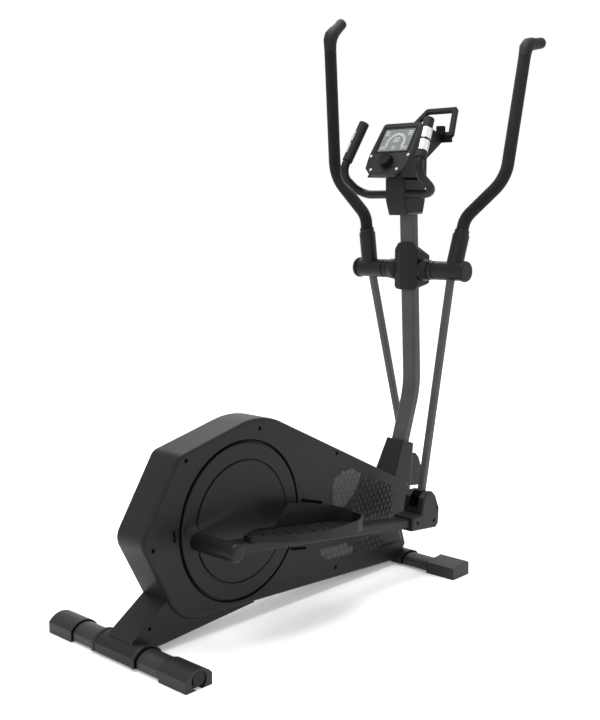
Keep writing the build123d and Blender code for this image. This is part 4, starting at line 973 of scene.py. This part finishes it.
# %% Knob
KNOB_RADIUS, KNOB_TAPER = 21.6, 1.5
KNOB_LOW, KNOB_HIGH = 0.4, 16.6
KNOB_FLANKS = 60
RIB_EDGE, RIB_DEPTH = 0.25, 0.7
CROWN_SLOPE, CROWN_RISE = 1.5, 0.6
CROWN_RIM, CROWN_DIP = 2.0, 0.8
shape = bmesh.new()
knob_middle = Matrix.Translation((*KNOB_AT, (KNOB_LOW + KNOB_HIGH) / 2))
drum(shape, knob_middle, KNOB_RADIUS, KNOB_RADIUS - KNOB_TAPER, KNOB_HIGH - KNOB_LOW, KNOB_FLANKS)
top = max(shape.faces, key=lambda face: face.calc_center_median().z)
flanks = [face for face in shape.faces if len(face.verts) == 4]
bmesh.ops.inset_individual(shape, faces=flanks[::2], thickness=RIB_EDGE, depth=-RIB_DEPTH)
bmesh.ops.inset_region(shape, faces=[top], thickness=CROWN_SLOPE, depth=CROWN_RISE)
bmesh.ops.inset_region(shape, faces=[top], thickness=CROWN_RIM, depth=-CROWN_DIP)
set_in_place(shape, PANEL)
knob = keep_piece("ribbed_knob", shape, "knob", matt_abs, crease=30)
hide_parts("console_knob")
print(knob.name, len(knob.data.polygons), "faces")

# %% [markdown]
# ## The swing hub
#
# The hub is a block round the post with a raised band at the back, cut corners, and a top and bottom that
# slope towards the front. Cutting a box would take a plane for every slope, so the corners are listed for
# one side, and a convex hull closes the skin over both. A stepped collar leads to each swinging sleeve:
# half its profile is drawn once and spun a full turn about the swing axis.

# %% Hub block
HUB_CORNERS = [
    (-31, 15, 84),
    (-31, 15, -62),
    (-24, 29, 82),
    (-24, 43, 62),
    (-24, 43, -52),
    (-24, 36, -60),
    (40, 43, 43),
    (40, 43, -43),
]
HUB_SOFT, HUB_STEPS = 2.5, 3
HUB_FLAT = math.radians(1)
shape = bmesh.new()
for x, y, z in HUB_CORNERS:
    shape.verts.new((x, y, z))
    shape.verts.new((x, -y, z))
bmesh.ops.convex_hull(shape, input=shape.verts)
bmesh.ops.dissolve_limit(shape, angle_limit=HUB_FLAT, verts=shape.verts, edges=shape.edges)
round_edges(shape, shape.edges[:], HUB_SOFT, steps=HUB_STEPS)
set_in_place(shape, FROM_AXLE @ Matrix.Translation(SWING_AT))
block = keep_piece("hub_block", shape, "machine", satin_abs, crease=40)
keep_flats_flat(block)
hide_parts("hub_cover")
print(block.name, len(block.data.polygons), "faces")

# %% Hub collars
# How far out from the middle, and the radius there.
COLLAR_PROFILE = [
    (38.0, 21.0),
    (44.0, 29.0),
    (50.0, 33.0),
    (57.0, 33.0),
    (60.0, 31.0),
    (73.0, 30.5),
    (75.5, 29.5),
    (75.5, 27.0),
    (79.0, 27.0),
    (80.0, 28.2),
    (91.5, 28.2),
    (92.5, 27.2),
    (92.5, 25.8),
    (96.4, 25.8),
    (96.4, 24.0),
]
COLLAR_STEPS = 48
for side in SIDES:
    shape = spun([(0, out, radius) for out, radius in COLLAR_PROFILE], (0, 1, 0), COLLAR_STEPS)
    set_in_place(shape, FROM_AXLE @ Matrix.Translation(SWING_AT) @ sided(side))
    collar = keep_piece("hub_collar." + side, shape, "machine", satin_abs)
    print(collar.name, len(collar.data.polygons), "faces")

# %% [markdown]
# ## Screws of the joint housings
#
# Each lower joint is closed by two shells with small black screws in round holes, and the leg cover has
# one on each side. At this size a hole is only a dark spot with a rim, so a low disc in painted shade black,
# with a dished middle, on the outer face gives it. The eye of the rod inside the joint sits in a bush, also
# in painted shade black, which shows between the shells as the shade inside the housing.

# %% Housing and leg screws
HOUSING_FACE = 188.0
HOUSING_SCREWS = [(838, -31), (822, -69), (743, -63)]
LEG_FACE = 46.0
LEG_SCREWS = [(-303, 71)]
SCREW_HOLE, SCREW_STEPS = 4.6, 16
SCREW_ROOT, SCREW_HEIGHT = 0.4, 1.2
SCREW_RIM, SCREW_DIP = 0.9, 0.5


def screw_holes(name, spots, height, place, body):
    shape = bmesh.new()
    for spot in spots:
        foot = round_face(shape, spot, height - SCREW_ROOT, SCREW_HOLE, SCREW_STEPS)
        top = raise_face(shape, foot, SCREW_HEIGHT)
        bmesh.ops.inset_region(shape, faces=[top], thickness=SCREW_RIM, depth=-SCREW_DIP)
    set_in_place(shape, place @ OUTWARD)
    # Painted shade: the dark of each hole is a near-black disc.
    keep_piece(name, shape, body, painted_shade_black)


for side in SIDES:
    screw_holes("housing_screws." + side, HOUSING_SCREWS, HOUSING_FACE, arm_frame(side), "pedal_" + side)
    screw_holes("leg_screws." + side, LEG_SCREWS, LEG_FACE, FROM_AXLE @ sided(side), "machine")
print(len(HOUSING_SCREWS + LEG_SCREWS), "screw holes a side")

# %% Bush round the rod's eye
BUSH_RADIUS, BUSH_LENGTH, BUSH_STEPS = 20.6, 28.6, 40
BUSH_SOFT = 1.0
ROD_LENGTH = (EYE_AT["left"].xz - SWING_AT.xz).length
BUSH_AT = Matrix.Translation((0.0, EYE_AT["left"].y, -ROD_LENGTH))
for side in SIDES:
    shape = bmesh.new()
    lying = BUSH_AT @ Matrix.Rotation(math.radians(90), 4, "X")
    drum(shape, lying, BUSH_RADIUS, BUSH_RADIUS, BUSH_LENGTH, BUSH_STEPS)
    round_edges(shape, sharp_edges(shape), BUSH_SOFT)
    set_in_place(shape, swing_frame(side))
    # Painted shade: the bush is near-black for the shade inside the housing.
    bush = keep_piece("eye_bush." + side, shape, "swing_" + side, painted_shade_black)
    print(bush.name, len(bush.data.polygons), "faces")

# %% [markdown]
# ## Shadow gaps on the feet
#
# Where a cap or a saddle ends, a real moulding stands a little off the tube, and the gap shows as a black
# line. A true gap would be too narrow to render dark, so a thin black band with the tube's arched
# outline, slightly larger than the tube, stands in for it. The saddle at the back also has a raised bead
# at each end.

# %% Arched outline of a foot
FOOT_WIDTH, FOOT_BOTTOM = 72.0, 6.0
# Middle of the tube, height of its sides and height of its crown.
FEET = {"rear": (-340.0, 24.0, 44.0), "front": (688.0, 20.0, 34.0)}
ARCH_STEPS = 16


def arch_outline(foot, grow):
    """A stabiliser's arched section grown by a gap, as forward and up."""
    middle, side_top, crown = FEET[foot]
    half = FOOT_WIDTH / 2
    rise = crown - side_top
    radius = (half**2 + rise**2) / (2 * rise)
    reach = math.asin(half / radius)
    turns = [reach * (1 - 2 * step / ARCH_STEPS) for step in range(ARCH_STEPS + 1)]
    wide = radius + grow
    arch = [(middle + wide * math.sin(turn), crown - radius + wide * math.cos(turn)) for turn in turns]
    return [(middle + half + grow, FOOT_BOTTOM), *arch, (middle - half - grow, FOOT_BOTTOM)]


print(len(arch_outline("rear", 0)), "corners in a foot's outline")

# %% Bands round the tubes
# Foot, inner and outer end of the band, how much it is grown, and its finish.
BANDS = [
    ("rear", 165.6, 169.2, 2.2, painted_shade_black),
    ("rear", 81.8, 85.4, 2.6, painted_shade_black),
    ("rear", 73.0, 82.2, 7.0, filled_nylon),
    ("front", 165.6, 169.2, 2.0, painted_shade_black),
    ("front", 74.8, 78.4, 2.6, painted_shade_black),
]
for number, (foot, low, high, grow, finish) in enumerate(BANDS):
    for side in SIDES:
        shape = bmesh.new()
        raise_face(shape, flat_face(shape, arch_outline(foot, grow), low), high - low)
        set_in_place(shape, FROM_AXLE @ sided(side) @ OUTWARD)
        keep_piece(f"foot_band_{number}.{side}", shape, "machine", finish)
print(len(BANDS) * len(SIDES), "bands")

# %% [markdown]
# ## Studio
#
# The photograph is a catalogue cut-out: white all round, soft light from above and a little more from the
# left. A wide pale floor that glows a little, a bright even sky and four large lamps give the same. The
# camera has the place and the lens worked out from the photograph, with no shift and no depth of field.

# %% Floor
PAPER_FIBRE_MM = 6.0
FLOOR_HALF, FLOOR_GAP = 12.0, 0.0005
# Matt paper has no highlight: the fibres only cloud its white a little, drawn coarse enough to show.
paper, tree, place = start_finish("matt_backdrop_paper")
fibre = add(tree, "ShaderNodeTexNoise", {"Vector": place, "Scale": per_metre(PAPER_FIBRE_MM), "Detail": 4.0})
whites = ((0.0, "#fafaf9"), (1.0, "#ffffff"))
pale = add(tree, "ShaderNodeValToRGB", {"Fac": fibre.outputs["Fac"]}, stops=whites)
close_finish(
    tree,
    {
        "Base Color": pale.outputs["Color"],
        "Roughness": 0.9,
        "Emission Color": linear("#ffffff"),
        "Emission Strength": 0.2,
    },
)
shape = bmesh.new()
bmesh.ops.create_grid(shape, x_segments=1, y_segments=1, size=FLOOR_HALF)
bmesh.ops.translate(shape, vec=(0, 0, cad_box[0].z - FLOOR_GAP), verts=shape.verts)
floor = new_object("studio_floor", shape, paper)
print(floor.name, 2 * FLOOR_HALF, "m wide")

# %% Sky and lamps
# Place and size in metres, and watts.
LAMPS = {
    "overhead": ((0.0, 0.2, 3.6), 2.0, 95.0),
    "left_front": ((-3.2, -0.6, 2.6), 1.4, 12.0),
    "right_front": ((1.6, -3.4, 2.2), 1.4, 8.0),
    "behind": ((1.9, 1.9, 3.2), 2.2, 30.0),
}
AIM = Vector((0.0, 0.0, 0.7))
sky = bpy.data.worlds.new("studio_sky")
bpy.context.scene.world = sky
sky.use_nodes = True
sky.node_tree.nodes["Background"].inputs["Color"].default_value = linear("#ffffff")
sky.node_tree.nodes["Background"].inputs["Strength"].default_value = 1.0
for name, (at, size, watts) in LAMPS.items():
    lamp = bpy.data.lights.new(name, "AREA")
    lamp.size = size
    lamp.energy = watts
    hung = bpy.data.objects.new(name, lamp)
    hung.location = at
    hung.rotation_euler = (AIM - Vector(at)).to_track_quat("-Z", "Y").to_euler()
    bpy.context.scene.collection.objects.link(hung)
print(len(LAMPS), "lamps")

# %% Camera
CAMERA_AT = (-2.213735, -1.991902, 1.063715)
CAMERA_TURN = (82.171, 0.0, -47.032)
LENS_MM, SENSOR_MM = 53.606, 36.0
SEES_TO = 50.0
camera = bpy.data.cameras.new("catalogue_camera")
camera.lens = LENS_MM
camera.sensor_width = SENSOR_MM
camera.sensor_fit = "AUTO"
camera.clip_end = SEES_TO
stand = bpy.data.objects.new("catalogue_camera", camera)
stand.location = CAMERA_AT
stand.rotation_euler = [math.radians(degrees) for degrees in CAMERA_TURN]
bpy.context.scene.collection.objects.link(stand)
bpy.context.scene.camera = stand
bpy.context.scene.view_settings.view_transform = "Standard"
print(stand.name, "with a lens of", LENS_MM, "mm")
